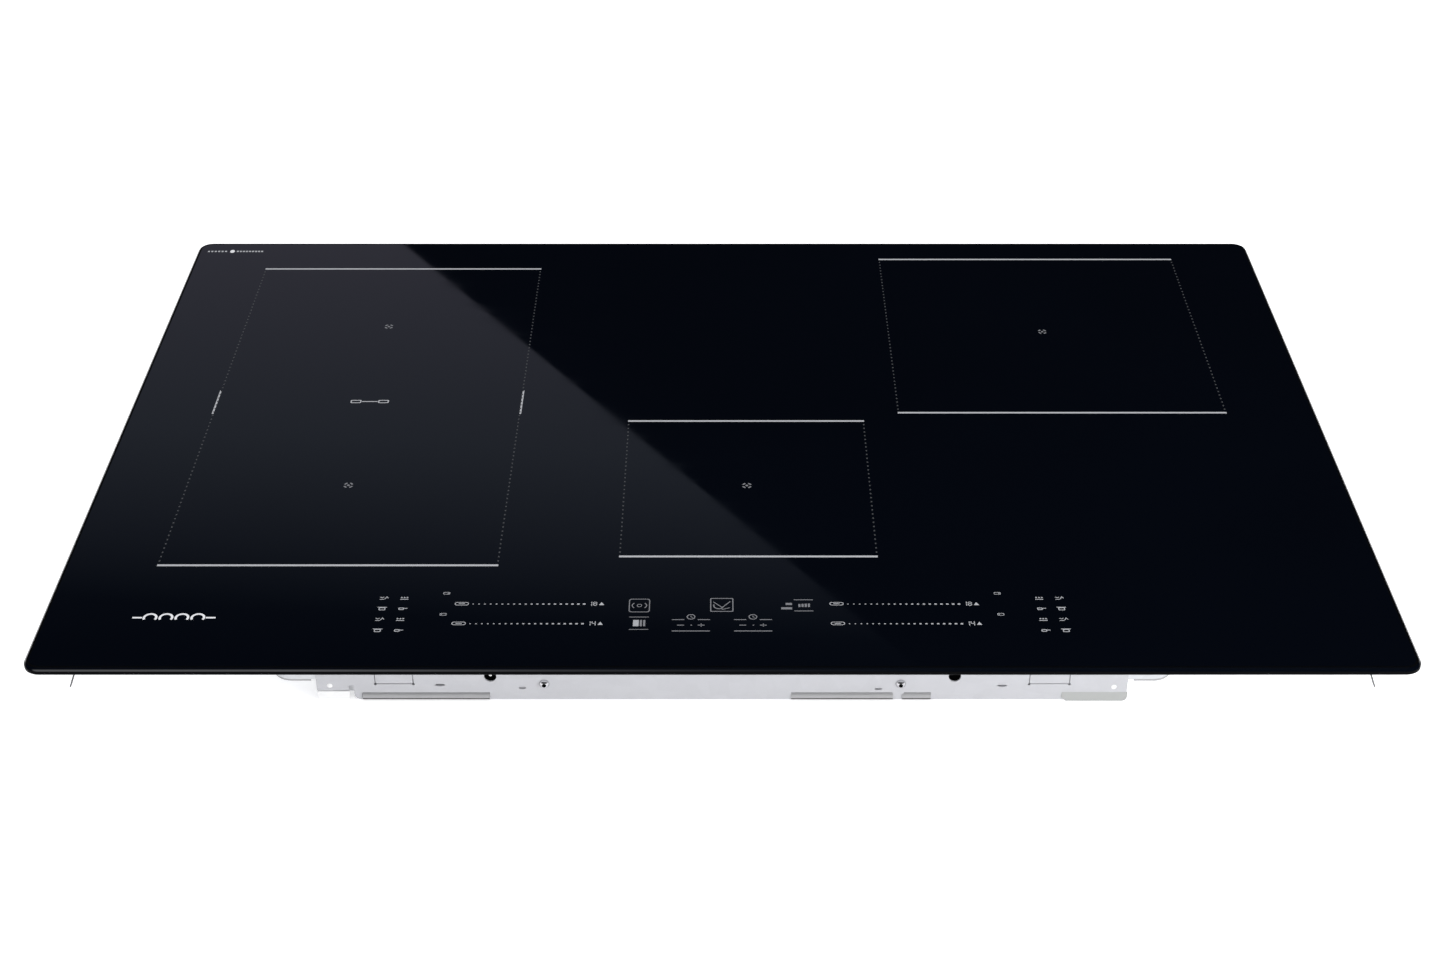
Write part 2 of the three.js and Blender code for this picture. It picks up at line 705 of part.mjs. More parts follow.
function lightGuide() {
  const body = slab(grown(TOUCH, -9), TOUCH_BOARD_TOP, GLASS_BOTTOM - 0.5);
  const window = { length: 66, width: 5, count: 2, pitch: 18.75, along: "x" };
  const displays = [-110, 103.75].flatMap((x) =>
    slotRow({ ...window, x, y: -205.5 }, TOUCH_BOARD_TOP - 1, GLASS_BOTTOM),
  );
  return cutBy(body, ...displays, slab(centred(0, -205, 56, 10), TOUCH_BOARD_TOP - 1, GLASS_BOTTOM));
}

place("touch_board_carrier", touchCarrier(), blackPlastic);
place("touch_board", closed(slab(grown(TOUCH, -3.5), TOUCH_BOARD_BASE, TOUCH_BOARD_TOP)), boardGreen);
place("light_guide", lightGuide(), whitePlastic);

function ribbonCable() {
  const thick = 1;
  const startY = -184;
  const endY = -104;
  const topZ = TOUCH_BOARD_BASE - 2.5;
  const lowZ = BOARD_TOP + 6;
  const side = polygon([
    [startY, topZ],
    [startY, lowZ],
    [endY - thick, lowZ],
    [endY - thick, BOARD_TOP + 0.5],
    [endY, BOARD_TOP + 0.5],
    [endY, lowZ + thick],
    [startY + thick, lowZ + thick],
    [startY + thick, topZ],
  ]);
  const cable = { x0: -150, x1: -134 };
  return closed(sectionAlongX(side, cable.x0, cable.x1));
}

place("ribbon_cable", ribbonCable(), cableGrey);

// ---------------------------------------------------------------- power modules

function heatSink(area, base, top) {
  const fins = 9;
  const finThick = 1.6;
  const slabTop = base + 4;
  const pitch = (area.x1 - area.x0 - finThick) / (fins - 1);
  const outline = [
    [area.x0, base],
    [area.x1, base],
  ];
  for (let i = fins - 1; i >= 0; i--) {
    const x = area.x0 + i * pitch;
    outline.push([x + finThick, top], [x, top]);
    if (i > 0) outline.push([x, slabTop], [x - pitch + finThick, slabTop]);
  }
  return closed(prismY(polygon(outline), area.y0, area.y1));
}

function toroid(radius, section, z0) {
  const geometry = new THREE.TorusGeometry(radius, section, 7, 16);
  return closed(geometry.translate(0, 0, z0 + section));
}

const HEAT_SINK = { x0: -128, y0: -96, x1: -60, y1: 22 };
const CAPACITOR = { x0: -212, y0: -22, x1: -160, y1: 14 };
const INDUCTOR = { x: -182, y: -66, radius: 17, section: 8 };

["left", "right"].forEach((side, i) => {
  const shift = [i * MODULE_PITCH, 0, 0];
  const board = slab(BOARD, BOARD_TOP - BOARD_THICK, BOARD_TOP);
  place(`${side}_power_board`, closed(board), boardGreen, shift);
  place(`${side}_heat_sink`, heatSink(HEAT_SINK, BOARD_TOP, -19.5), aluminium, shift);
  const film = slab(CAPACITOR, BOARD_TOP, BOARD_TOP + 22, 2);
  place(`${side}_capacitor`, closed(film), filmBlue, shift);
  const core = toroid(INDUCTOR.radius, INDUCTOR.section, BOARD_TOP);
  place(`${side}_inductor`, core, copper, [INDUCTOR.x + shift[0], INDUCTOR.y, 0]);
});

// ---------------------------------------------------------------- cooling fans

const MOTOR_RADIUS = 12;

// Scroll housing round the origin: inlet below, outlet towards -Y, motor post from the roof.
function fanHousing() {
  const { radius, wall, outlet, base, top } = FAN;
  const scroll = (inset) => {
    const r = radius - inset;
    const mouth = outlet + (inset > 0 ? 5 : 0); // the inner cut runs out through the mouth
    const shape = new THREE.Shape();
    shape.moveTo(-r, -mouth);
    shape.lineTo(20 - inset, -mouth);
    shape.lineTo(20 - inset, -40);
    shape.lineTo(Math.cos(-0.9) * r, Math.sin(-0.9) * r);
    shape.absarc(0, 0, r, -0.9, Math.PI, false);
    return shape;
  };
  const shell = cutBy(
    prism(scroll(0), base, top, 10),
    prism(scroll(wall), base + wall, top - wall, 10),
    rod(0, 0, 31, base - 1, base + wall + 1, 24),
  );
  return joined(shell, rod(0, 0, MOTOR_RADIUS, -37.5, top - wall / 2, 20));
}

function impeller() {
  const blades = 16;
  const rim = { inner: 34, outer: 44 };
  const z = { low: -45, high: -25 };
  const annulus = (inner, outer, z0, z1) =>
    turned([[inner, z0], [outer, z0], [outer, z1], [inner, z1], [inner, z0]], 24);
  const cupWall = { inner: MOTOR_RADIUS + 1, outer: MOTOR_RADIUS + 3 };
  const pieces = [
    annulus(rim.inner, rim.outer, z.low, z.low + 1.2),
    annulus(cupWall.inner, rim.outer, z.high - 1.5, z.high),
    turned(
      [
        [0, -40.5],
        [cupWall.outer, -40.5],
        [cupWall.outer, z.high - 0.5],
        [cupWall.inner, z.high - 0.5],
        [cupWall.inner, -39],
        [0, -39],
      ],
      22,
    ),
  ];
  for (let i = 0; i < blades; i++) {
    const angle = (2 * Math.PI * i) / blades;
    const blade = new THREE.BoxGeometry(rim.outer - rim.inner - 1.2, 1.1, z.high - z.low - 1);
    blade.rotateZ(0.5).translate((rim.inner + rim.outer) / 2, 0, (z.low + z.high) / 2);
    pieces.push(blade.rotateZ(angle));
  }
  return joined(...pieces);
}

["left", "right"].forEach((side, i) => {
  const centre = [FAN.x + i * MODULE_PITCH, FAN.y, 0];
  place(`${side}_fan_housing`, fanHousing(), blackPlastic, centre);
  place(`${side}_fan_impeller`, impeller(), blackPlastic, centre);
});

// ---------------------------------------------------------------- mains input

const filterBoard = slab(FILTER, BOARD_TOP - BOARD_THICK, BOARD_TOP);
place("filter_board", closed(filterBoard), boardGreen);
place("filter_choke", toroid(16, 8, BOARD_TOP), copper, [20, 110, 0]);

const HINGE = { y: TERMINALS.y0 - 3.5, z: TERMINALS.base - 1, radius: 2.25, pin: 1.25 };
const LID = { thick: 2, top: TERMINALS.base - 0.25 };
const EAR = 6;

// Box under the right wing, open below, with two hinge ears in front.
function terminalBox() {
  const { wall, base, x0, x1, y0, y1 } = TERMINALS;
  const shell = cutBy(
    slab(TERMINALS, base, PAN_BASE, 3),
    slab(grown(TERMINALS, -wall), base - 1, PAN_BASE - wall),
  );
  const ears = [x0, x1 - EAR].map((x) =>
    joined(
      slab({ x0: x, x1: x + EAR, y0: HINGE.y - 1, y1: y0 + 1 }, base, base + 6),
      alongX(HINGE.radius + 1, x, x + EAR, HINGE.y, HINGE.z),
      slab({ x0: x, x1: x + EAR, y0: HINGE.y, y1: y0 + 0.5 }, HINGE.z, base + 2),
    ),
  );
  const cableEntry = alongY(6, y1 - 4, y1 + 4, TERMINALS_X, base + 7, 16);
  return cutBy(
    joined(shell, ...ears),
    alongX(HINGE.pin + 0.3, x0 + 2, x1 - 2, HINGE.y, HINGE.z),
    cableEntry,
    slab({ ...WIRE_PASS, x0: x0 - 1, x1: x0 + wall + 1 }, ...WIRE_PASS_HEIGHTS),
  );
}

function terminalBlock() {
  const y = 142;
  const z = { low: -35, screwSeat: -30, wireSeat: -27 };
  const poles = 5;
  const pitch = 11.5;
  const wells = Array.from({ length: poles }, (_, i) => {
    const x = TERMINALS_X + (i - (poles - 1) / 2) * pitch;
    return joined(
      slab(centred(x, y + 6, 8, 12), z.low - 5, z.wireSeat),
      rod(x, y - 5, 3, z.low - 5, z.screwSeat, 10),
    );
  });
  return cutBy(slab(centred(TERMINALS_X, y, 60, 22), z.low, PAN_BASE - TERMINALS.wall), ...wells);
}

// A saddle that grips the mains cable just inside its entry.
function cableClamp() {
  const y = 160;
  const z = { low: -36, high: -33 };
  const bar = slab(centred(TERMINALS_X, y, 34, 8), z.low, z.high, 2);
  const feet = [-13.5, 13.5].map((dx) =>
    rod(TERMINALS_X + dx, y, 3, z.high - 1, PAN_BASE - TERMINALS.wall, 10),
  );
  return joined(bar, ...feet);
}

function terminalLid() {
  const { x0, x1, y1 } = TERMINALS;
  const play = 0.5;
  const barrel = [x0 + EAR + play, x1 - EAR - play];
  const plate = slab({ x0, x1, y0: TERMINALS.y0 + 0.5, y1 }, LID.top - LID.thick, LID.top, 3);
  const web = slab(
    { x0: barrel[0], x1: barrel[1], y0: HINGE.y, y1: TERMINALS.y0 + 6 },
    LID.top - LID.thick,
    LID.top,
  );
  const latch = slab(centred(TERMINALS_X, y1 - 5.5, 12, 2.5), LID.top - 1, LID.top + 6);
  return joined(
    plate,
    web,
    latch,
    alongX(HINGE.radius, ...barrel, HINGE.y, HINGE.z),
    alongX(HINGE.pin, x0 + 2.5, x1 - 2.5, HINGE.y, HINGE.z),
  );
}

place("terminal_box", terminalBox(), blackPlastic);
place("terminal_block", terminalBlock(), whitePlastic);
place("cable_clamp", cableClamp(), blackPlastic);
place("terminal_lid", terminalLid(), blackPlastic);

export default hob;
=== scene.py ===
"""Looks of a built-in induction hob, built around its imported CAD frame.

Lengths in this file are millimetres in the frame of the CAD, unless a name says otherwise.
+X runs to the cook's right, +Y towards the wall, +Z up. Every mesh is made in metres.
"""

import math
import random

import bmesh
import bpy
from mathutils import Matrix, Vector


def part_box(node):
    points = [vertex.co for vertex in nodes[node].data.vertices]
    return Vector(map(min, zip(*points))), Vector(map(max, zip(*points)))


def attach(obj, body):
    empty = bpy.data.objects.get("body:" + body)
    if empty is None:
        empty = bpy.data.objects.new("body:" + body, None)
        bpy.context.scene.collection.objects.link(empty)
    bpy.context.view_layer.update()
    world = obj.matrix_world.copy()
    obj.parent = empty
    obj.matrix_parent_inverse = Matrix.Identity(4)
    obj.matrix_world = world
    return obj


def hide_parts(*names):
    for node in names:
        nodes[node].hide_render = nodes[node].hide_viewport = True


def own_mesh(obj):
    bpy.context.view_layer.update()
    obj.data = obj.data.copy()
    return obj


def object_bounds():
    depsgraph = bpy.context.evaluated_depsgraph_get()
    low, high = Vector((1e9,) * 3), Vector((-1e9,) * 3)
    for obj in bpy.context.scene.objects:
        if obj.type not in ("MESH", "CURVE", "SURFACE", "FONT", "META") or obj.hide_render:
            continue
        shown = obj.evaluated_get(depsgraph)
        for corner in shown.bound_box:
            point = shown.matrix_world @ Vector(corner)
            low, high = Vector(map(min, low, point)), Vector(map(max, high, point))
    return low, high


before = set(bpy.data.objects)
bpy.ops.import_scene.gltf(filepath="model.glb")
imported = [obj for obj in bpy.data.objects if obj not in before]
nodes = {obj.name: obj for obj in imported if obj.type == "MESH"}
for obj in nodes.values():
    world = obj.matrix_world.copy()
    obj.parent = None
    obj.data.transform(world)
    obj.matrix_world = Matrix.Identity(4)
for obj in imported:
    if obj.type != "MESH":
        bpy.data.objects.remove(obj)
cad_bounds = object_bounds()

MM = 0.001
ROOT = "housing"
scene = bpy.context.scene


def box_mm(node):
    """Lowest and highest corner of a CAD node, in millimetres."""
    low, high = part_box(node)
    return low / MM, high / MM


GLASS_LOW, GLASS_HIGH = box_mm("glass_panel")
GLASS_TOP = GLASS_HIGH.z
COVER_LOW, COVER_HIGH = box_mm("bottom_cover")
TRAY_LOW, TRAY_HIGH = box_mm("electronics_tray")
PAN_LOW, PAN_HIGH = box_mm("coil_pan")
BRACKET_LOW, BRACKET_HIGH = box_mm("front_bracket")
DECK_LOW, DECK_HIGH = box_mm("coil_deck")
BOARD_LOW, BOARD_HIGH = box_mm("left_power_board")
MODULE_PITCH = box_mm("right_power_board")[0].x - BOARD_LOW.x
COILS = ("left_rear", "left_front", "centre_front", "right_rear")


def centre_of(node):
    low, high = box_mm(node)
    return (low + high) / 2


# ------------------------------------------------------------------ materials


class Surface:
    """A Principled material whose colour, roughness and relief come from procedural nodes."""

    def __init__(self, name, metallic=0.0, roughness=0.5, colour=(0.5, 0.5, 0.5), ior=1.5):
        self.material = bpy.data.materials.new(name)
        self.material.use_nodes = True
        self.material.diffuse_color = (*colour, 1.0)
        self.tree = self.material.node_tree
        self.shader = self.tree.nodes["Principled BSDF"]
        self.shader.inputs["Metallic"].default_value = metallic
        self.shader.inputs["Roughness"].default_value = roughness
        self.shader.inputs["Base Color"].default_value = (*colour, 1.0)
        self.shader.inputs["IOR"].default_value = ior
        self.coordinates = self.tree.nodes.new("ShaderNodeTexCoord").outputs["Object"]
        self.normal = None

    def node(self, kind, **settings):
        made = self.tree.nodes.new(kind)
        for key, value in settings.items():
            setattr(made, key, value)
        return made

    def link(self, output, target):
        self.tree.links.new(output, target)

    def mapped(self, scale=(1, 1, 1), rotation=(0, 0, 0)):
        mapping = self.node("ShaderNodeMapping")
        mapping.inputs["Scale"].default_value = scale
        mapping.inputs["Rotation"].default_value = rotation
        self.link(self.coordinates, mapping.inputs["Vector"])
        return mapping.outputs["Vector"]

    def noise(self, scale, detail=2.0, stretch=(1, 1, 1), distortion=0.0):
        made = self.node("ShaderNodeTexNoise")
        made.inputs["Scale"].default_value = scale
        made.inputs["Detail"].default_value = detail
        made.inputs["Distortion"].default_value = distortion
        self.link(self.mapped(stretch), made.inputs["Vector"])
        return made.outputs["Fac"]

    def cells(self, scale, feature="F1", output="Distance", stretch=(1, 1, 1)):
        made = self.node("ShaderNodeTexVoronoi", feature=feature)
        made.inputs["Scale"].default_value = scale
        self.link(self.mapped(stretch), made.inputs["Vector"])
        return made.outputs[output]

    def ranged(self, value, low, high, to_low, to_high):
        made = self.node("ShaderNodeMapRange")
        made.inputs["From Min"].default_value = low
        made.inputs["From Max"].default_value = high
        made.inputs["To Min"].default_value = to_low
        made.inputs["To Max"].default_value = to_high
        self.link(value, made.inputs["Value"])
        return made.outputs["Result"]

    def blend(self, share, first, second):
        """A colour between first and second, each a colour or a socket."""
        made = self.node("ShaderNodeMix", data_type="RGBA")
        colour_inputs = [s for s in made.inputs if s.type == "RGBA"]
        for socket, value in zip(colour_inputs, (first, second)):
            if isinstance(value, tuple):
                socket.default_value = (*value, 1.0)
            else:
                self.link(value, socket)
        if isinstance(share, float):
            made.inputs["Factor"].default_value = share
        else:
            self.link(share, made.inputs["Factor"])
        return next(s for s in made.outputs if s.type == "RGBA")

    def colour(self, socket):
        self.link(socket, self.shader.inputs["Base Color"])
        return self

    def rough(self, socket):
        self.link(socket, self.shader.inputs["Roughness"])
        return self

    def bump(self, height, strength, distance_mm):
        made = self.node("ShaderNodeBump")
        made.inputs["Strength"].default_value = strength
        made.inputs["Distance"].default_value = distance_mm * MM
        self.link(height, made.inputs["Height"])
        if self.normal is not None:
            self.link(self.normal, made.inputs["Normal"])
        self.normal = made.outputs["Normal"]
        self.link(self.normal, self.shader.inputs["Normal"])
        return self


def shade(colour, factor):
    return tuple(min(1.0, channel * factor) for channel in colour)


def sheet_metal(name, colour, metallic, roughness, spangle=0.06, streak=0.03):
    """Coated sheet: faint crystal spangle, long rolling streaks and handling marks."""
    s = Surface(name, metallic, roughness, colour)
    spangles = s.cells(120, output="Color")
    separate = s.node("ShaderNodeSeparateColor")
    s.link(spangles, separate.inputs["Color"])
    crystals = s.blend(separate.outputs["Red"], shade(colour, 1 - spangle), shade(colour, 1 + spangle))
    streaks = s.noise(30, 4, stretch=(1, 14, 14))
    mixed = s.blend(s.ranged(streaks, 0.3, 0.7, 0.0, 0.5), crystals, shade(colour, 1 - streak))
    stains = s.noise(14, 3)
    s.colour(s.blend(s.ranged(stains, 0.56, 0.78, 0.0, 0.35), mixed, shade(colour, 0.86)))
    s.rough(s.ranged(s.noise(260, 3), 0.25, 0.75, roughness - 0.08, roughness + 0.1))
    s.bump(s.noise(900, 2), 0.12, 0.05)
    return s.material


def mill_aluminium(name, colour, roughness, direction=(1, 60, 60)):
    """Rolled or extruded aluminium: fine parallel grain."""
    s = Surface(name, 1.0, roughness, colour)
    grain = s.noise(60, 4, stretch=direction)
    s.colour(s.blend(s.ranged(grain, 0.3, 0.7, 0.0, 1.0), shade(colour, 0.9), shade(colour, 1.06)))
    s.rough(s.ranged(s.noise(18, 3), 0.3, 0.7, roughness - 0.06, roughness + 0.1))
    s.bump(grain, 0.15, 0.03)
    return s.material


def plastic(name, colour, roughness, grain=0.12):
    """Moulded plastic: spark-eroded grain with slightly uneven gloss."""
    s = Surface(name, 0.0, roughness, colour)
    s.colour(s.blend(s.ranged(s.noise(25, 3), 0.3, 0.7, 0.0, 1.0), shade(colour, 0.88), shade(colour, 1.12)))
    s.rough(s.ranged(s.noise(150, 3), 0.3, 0.7, roughness - 0.07, roughness + 0.09))
    s.bump(s.noise(1600, 2), grain, 0.05)
    return s.material


def glass_ceramic():
    """Near-black polished glass-ceramic, with the faintest wipe marks in its gloss."""
    body = (0.0009, 0.0016, 0.0034)
    s = Surface("glass_ceramic", 0.0, 0.02, body)
    depth = s.noise(5, 2)
    s.colour(s.blend(s.ranged(depth, 0.3, 0.7, 0.0, 1.0), body, shade(body, 1.15)))
    wipes = s.noise(9, 5, stretch=(1, 2.5, 1), distortion=1.2)
    s.rough(s.ranged(wipes, 0.35, 0.8, 0.012, 0.045))
    return s.material


def ground_edge():
    """The panel's sawn and ground edge: dark, matt and faintly striated."""
    colour = (0.0012, 0.0013, 0.0016)
    s = Surface("ground_edge", 0.0, 0.45, colour)
    s.shader.inputs["Specular IOR Level"].default_value = 0.02
    s.colour(s.blend(s.ranged(s.noise(900, 2), 0.3, 0.7, 0.0, 1.0), shade(colour, 0.7), shade(colour, 1.5)))
    return s.bump(s.noise(1500, 2, stretch=(0.2, 0.2, 1)), 0.2, 0.03).material


def ceramic_ink(name, colour):
    """Screen-printed ink fired into the glass: slightly grainy, less glossy than the glass."""
    s = Surface(name, 0.0, 0.4, colour)
    s.colour(s.blend(s.ranged(s.noise(1500, 2), 0.3, 0.7, 0.0, 1.0), shade(colour, 0.9), shade(colour, 1.06)))
    s.rough(s.ranged(s.noise(800, 2), 0.3, 0.7, 0.34, 0.5))
    return s.material


def foam_tape():
    s = Surface("foam_tape", 0.0, 0.95, (0.012, 0.012, 0.014))
    cells = s.cells(1800)
    s.colour(s.blend(s.ranged(cells, 0.0, 0.6, 0.0, 1.0), (0.006, 0.006, 0.007), (0.02, 0.02, 0.023)))
    return s.bump(cells, 0.5, 0.15).material


def copper_litz():
    """Twisted bundle of lacquered strands: diagonal strand lines and warm variation."""
    colour = (0.60, 0.24, 0.09)
    s = Surface("copper_litz", 0.85, 0.36, colour)
    strands = s.noise(700, 2, stretch=(1, 1, 0.4))
    s.colour(s.blend(s.ranged(strands, 0.35, 0.65, 0.0, 1.0), shade(colour, 0.6), shade(colour, 1.2)))
    s.rough(s.ranged(s.noise(90, 2), 0.3, 0.7, 0.28, 0.46))
    return s.bump(strands, 0.5, 0.12).material


def ferrite_ceramic():
    s = Surface("ferrite_ceramic", 0.1, 0.6, (0.03, 0.03, 0.033))
    s.colour(s.blend(s.ranged(s.noise(700, 3), 0.3, 0.7, 0.0, 1.0), (0.02, 0.02, 0.022), (0.05, 0.05, 0.053)))
    return s.bump(s.noise(900, 3), 0.3, 0.06).material


def circuit_board():
    """Solder mask over copper: a maze of tracks, with a lighter green over the metal."""
    s = Surface("circuit_board", 0.0, 0.35, (0.01, 0.1, 0.045))
    maze = s.node("ShaderNodeTexBrick")
    maze.inputs["Scale"].default_value = 160
    maze.inputs["Mortar Size"].default_value = 0.18
    maze.inputs["Mortar Smooth"].default_value = 0.1
    s.link(s.mapped((1, 1, 1)), maze.inputs["Vector"])
    patches = s.ranged(s.cells(45, output="Distance"), 0.25, 0.3, 0.0, 1.0)
    tracks = s.blend(maze.outputs["Fac"], (0.006, 0.07, 0.03), (0.02, 0.16, 0.07))
    s.colour(s.blend(patches, (0.015, 0.13, 0.06), tracks))
    s.rough(s.ranged(s.noise(400, 2), 0.3, 0.7, 0.28, 0.42))
    return s.bump(maze.outputs["Fac"], 0.2, 0.05).material


def bright_metal(name, colour, roughness):
    """Plated or drawn metal, with fine scratches."""
    s = Surface(name, 1.0, roughness, colour)
    scratches = s.noise(300, 4, stretch=(1, 6, 2))
    s.colour(s.blend(s.ranged(scratches, 0.35, 0.65, 0.0, 1.0), shade(colour, 0.85), shade(colour, 1.05)))
    s.rough(s.ranged(s.noise(120, 3), 0.3, 0.7, roughness - 0.06, roughness + 0.1))
    return s.bump(scratches, 0.1, 0.03).material


def cable_jacket(name, colour):
    s = Surface(name, 0.0, 0.45, colour)
    s.colour(s.blend(s.ranged(s.noise(80, 2), 0.3, 0.7, 0.0, 1.0), shade(colour, 0.85), shade(colour, 1.1)))
    s.rough(s.ranged(s.noise(300, 2), 0.3, 0.7, 0.38, 0.55))
    return s.material


GLASS = glass_ceramic()
GROUND_EDGE = ground_edge()
INK_WHITE = ceramic_ink("ink_white", (0.76, 0.77, 0.79))
INK = ceramic_ink("ink_bright", (0.42, 0.43, 0.45))
INK_ICON = ceramic_ink("ink_icon", (0.36, 0.37, 0.39))
INK_KEY = ceramic_ink("ink_key", (0.19, 0.195, 0.21))
INK_FAINT = ceramic_ink("ink_faint", (0.055, 0.058, 0.064))
FOAM = foam_tape()
ZINC = sheet_metal("zinc_sheet", (0.62, 0.63, 0.65), 0.75, 0.42)
BRACKET_SHEET = sheet_metal("bracket_sheet", (0.476, 0.479, 0.50), 0.25, 0.45, 0.02, 0.02)
ALUMINIUM = mill_aluminium("aluminium_sheet", (0.68, 0.69, 0.70), 0.38)
EXTRUSION = mill_aluminium("aluminium_extrusion", (0.66, 0.67, 0.69), 0.42, (60, 1, 60))
# Spring steel in a dark grey: partly its own dark finish, partly painted shade for the clips' place under the glass.
SPRING_STEEL_SHADED = bright_metal("spring_steel", (0.13, 0.13, 0.135), 0.4)
SCREW_STEEL = bright_metal("screw_steel", (0.55, 0.55, 0.57), 0.25)
BRASS = bright_metal("plated_brass", (0.62, 0.50, 0.26), 0.3)
COPPER = copper_litz()
FERRITE = ferrite_ceramic()
BOARD_GREEN = circuit_board()
BLACK = plastic("black_moulding", (0.016, 0.016, 0.018), 0.5)
IVORY = plastic("ivory_moulding", (0.62, 0.60, 0.54), 0.5)
BLUE = plastic("blue_resin", (0.03, 0.07, 0.26), 0.35)
GREY = plastic("grey_moulding", (0.2, 0.2, 0.21), 0.45)
MICA = plastic("mica_sheet", (0.48, 0.44, 0.36), 0.4)
WIRE_BLACK = cable_jacket("wire_black", (0.02, 0.02, 0.022))
WIRE_RED = cable_jacket("wire_red", (0.35, 0.02, 0.015))
WIRE_BLUE = cable_jacket("wire_blue", (0.02, 0.08, 0.32))
WIRE_GREEN = cable_jacket("wire_green", (0.12, 0.30, 0.03))
WIRE_WHITE = cable_jacket("wire_white", (0.6, 0.6, 0.58))


# ------------------------------------------------------------------ mesh building


class Build:
    """Collects closed solids, in millimetres, into one mesh."""

    def __init__(self):
        self.points = []
        self.faces = []

    def add(self, points, faces):
        start = len(self.points)
        self.points.extend(points)
        self.faces.extend(tuple(start + i for i in face) for face in faces)
        return self

    def stack(self, levels):
        """Closed solid from outlines of equal length, each a (z, [(x, y), ...]) pair."""
        count = len(levels[0][1])
        points = [(x, y, z) for z, outline in levels for x, y in outline]
        faces = [tuple(reversed(range(count)))]
        for level in range(len(levels) - 1):
            a = level * count
            for i in range(count):
                j = (i + 1) % count
                faces.append((a + i, a + j, a + count + j, a + count + i))
        last = (len(levels) - 1) * count
        faces.append(tuple(range(last, last + count)))
        return self.add(points, faces)

    def prism(self, outline, z0, z1):
        return self.stack([(z0, outline), (z1, outline)])

    def block(self, low, high):
        (x0, y0, z0), (x1, y1, z1) = low, high
        return self.prism([(x0, y0), (x1, y0), (x1, y1), (x0, y1)], z0, z1)

    def turned(self, profile, place, segments=24, axis="z"):
        """Solid of revolution from (radius, height) pairs that start and end on the axis."""
        ring_points = [p for p in profile if p[0] > 0]
        points = [self._spun(0, profile[0][1], 0, axis, place)]
        for r, h in ring_points:
            for i in range(segments):
                points.append(self._spun(r, h, 2 * math.pi * i / segments, axis, place))
        points.append(self._spun(0, profile[-1][1], 0, axis, place))
        faces = [(0, 1 + (i + 1) % segments, 1 + i) for i in range(segments)]
        for k in range(len(ring_points) - 1):
            a = 1 + k * segments
            for i in range(segments):
                j = (i + 1) % segments
                faces.append((a + i, a + j, a + segments + j, a + segments + i))
        a, tip = 1 + (len(ring_points) - 1) * segments, len(points) - 1
        faces.extend((tip, a + i, a + (i + 1) % segments) for i in range(segments))
        return self.add(points, faces)

    @staticmethod
    def _spun(r, h, angle, axis, place):
        c, s = r * math.cos(angle), r * math.sin(angle)
        x, y, z = {"z": (c, s, h), "-y": (c, -h, s), "x": (h, c, s), "-x": (-h, c, s), "-z": (c, -s, -h)}[axis]
        return (x + place[0], y + place[1], z + place[2])

    def ring(self, profile, place, segments=48):
        """Solid of revolution about a vertical axis from a closed profile that stays off the axis."""
        count = len(profile)
        points = []
        for i in range(segments):
            angle = 2 * math.pi * i / segments
            for r, h in profile:
                points.append(self._spun(r, h, angle, "z", place))
        faces = []
        for i in range(segments):
            a, b = i * count, ((i + 1) % segments) * count
            for k in range(count):
                n = (k + 1) % count
                faces.append((a + k, b + k, b + n, a + n))
        return self.add(points, faces)

    def tube(self, path, radius, sides=8, closed=False):
        """Round wire along a list of points."""
        path = [Vector(p) for p in path]
        count = len(path)
        frames = []
        across = None
        for i, p in enumerate(path):
            before = path[i - 1] if i or closed else p
            after = path[(i + 1) % count] if i + 1 < count or closed else p
            along = (after - before).normalized()
            if across is None:
                across = along.orthogonal().normalized()
            across = (across - along * across.dot(along)).normalized()
            frames.append((p, across, along.cross(across)))
        points = []
        for p, u, v in frames:
            for k in range(sides):
                angle = 2 * math.pi * k / sides
                points.append(tuple(p + u * radius * math.cos(angle) + v * radius * math.sin(angle)))
        faces = []
        for i in range(count if closed else count - 1):
            a, b = i * sides, ((i + 1) % count) * sides
            for k in range(sides):
                n = (k + 1) % sides
                faces.append((a + k, a + n, b + n, b + k))
        if not closed:
            faces.append(tuple(reversed(range(sides))))
            faces.append(tuple(range((count - 1) * sides, count * sides)))
        return self.add(points, faces)

    def piece(self, name, material, slot, body=ROOT, smooth=None, bevel=0.0, stands_for=()):
        """Makes the mesh object. smooth is the angle below which edges shade smooth."""
        mesh = bpy.data.meshes.new(name)
        mesh.from_pydata([tuple(c * MM for c in p) for p in self.points], [], self.faces)
        work = bmesh.new()
        work.from_mesh(mesh)
        bmesh.ops.recalc_face_normals(work, faces=work.faces)
        if smooth is not None:
            for face in work.faces:
                face.smooth = True
            for edge in work.edges:
                if len(edge.link_faces) == 2 and edge.calc_face_angle() > math.radians(smooth):
                    edge.smooth = False
        work.to_mesh(mesh)
        work.free()
        made = bpy.data.objects.new(name, mesh)
        scene.collection.objects.link(made)
        mesh.materials.append(material)
        if bevel:
            rounded = made.modifiers.new("rounded", "BEVEL")
            rounded.width = bevel * MM
            rounded.segments = 2
            rounded.limit_method = "ANGLE"
            rounded.angle_limit = math.radians(40)
        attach(made, body)
        if stands_for:
            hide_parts(*stands_for)
        return made


def rounded_rect(x0, y0, x1, y1, r, steps=6):
    points = []
    corners = ((x1 - r, y0 + r, -90), (x1 - r, y1 - r, 0), (x0 + r, y1 - r, 90), (x0 + r, y0 + r, 180))
    for cx, cy, start in corners:
        for i in range(steps + 1):
            angle = math.radians(start + 90 * i / steps)
            points.append((cx + r * math.cos(angle), cy + r * math.sin(angle)))
    return points


# ------------------------------------------------------------------ glass panel


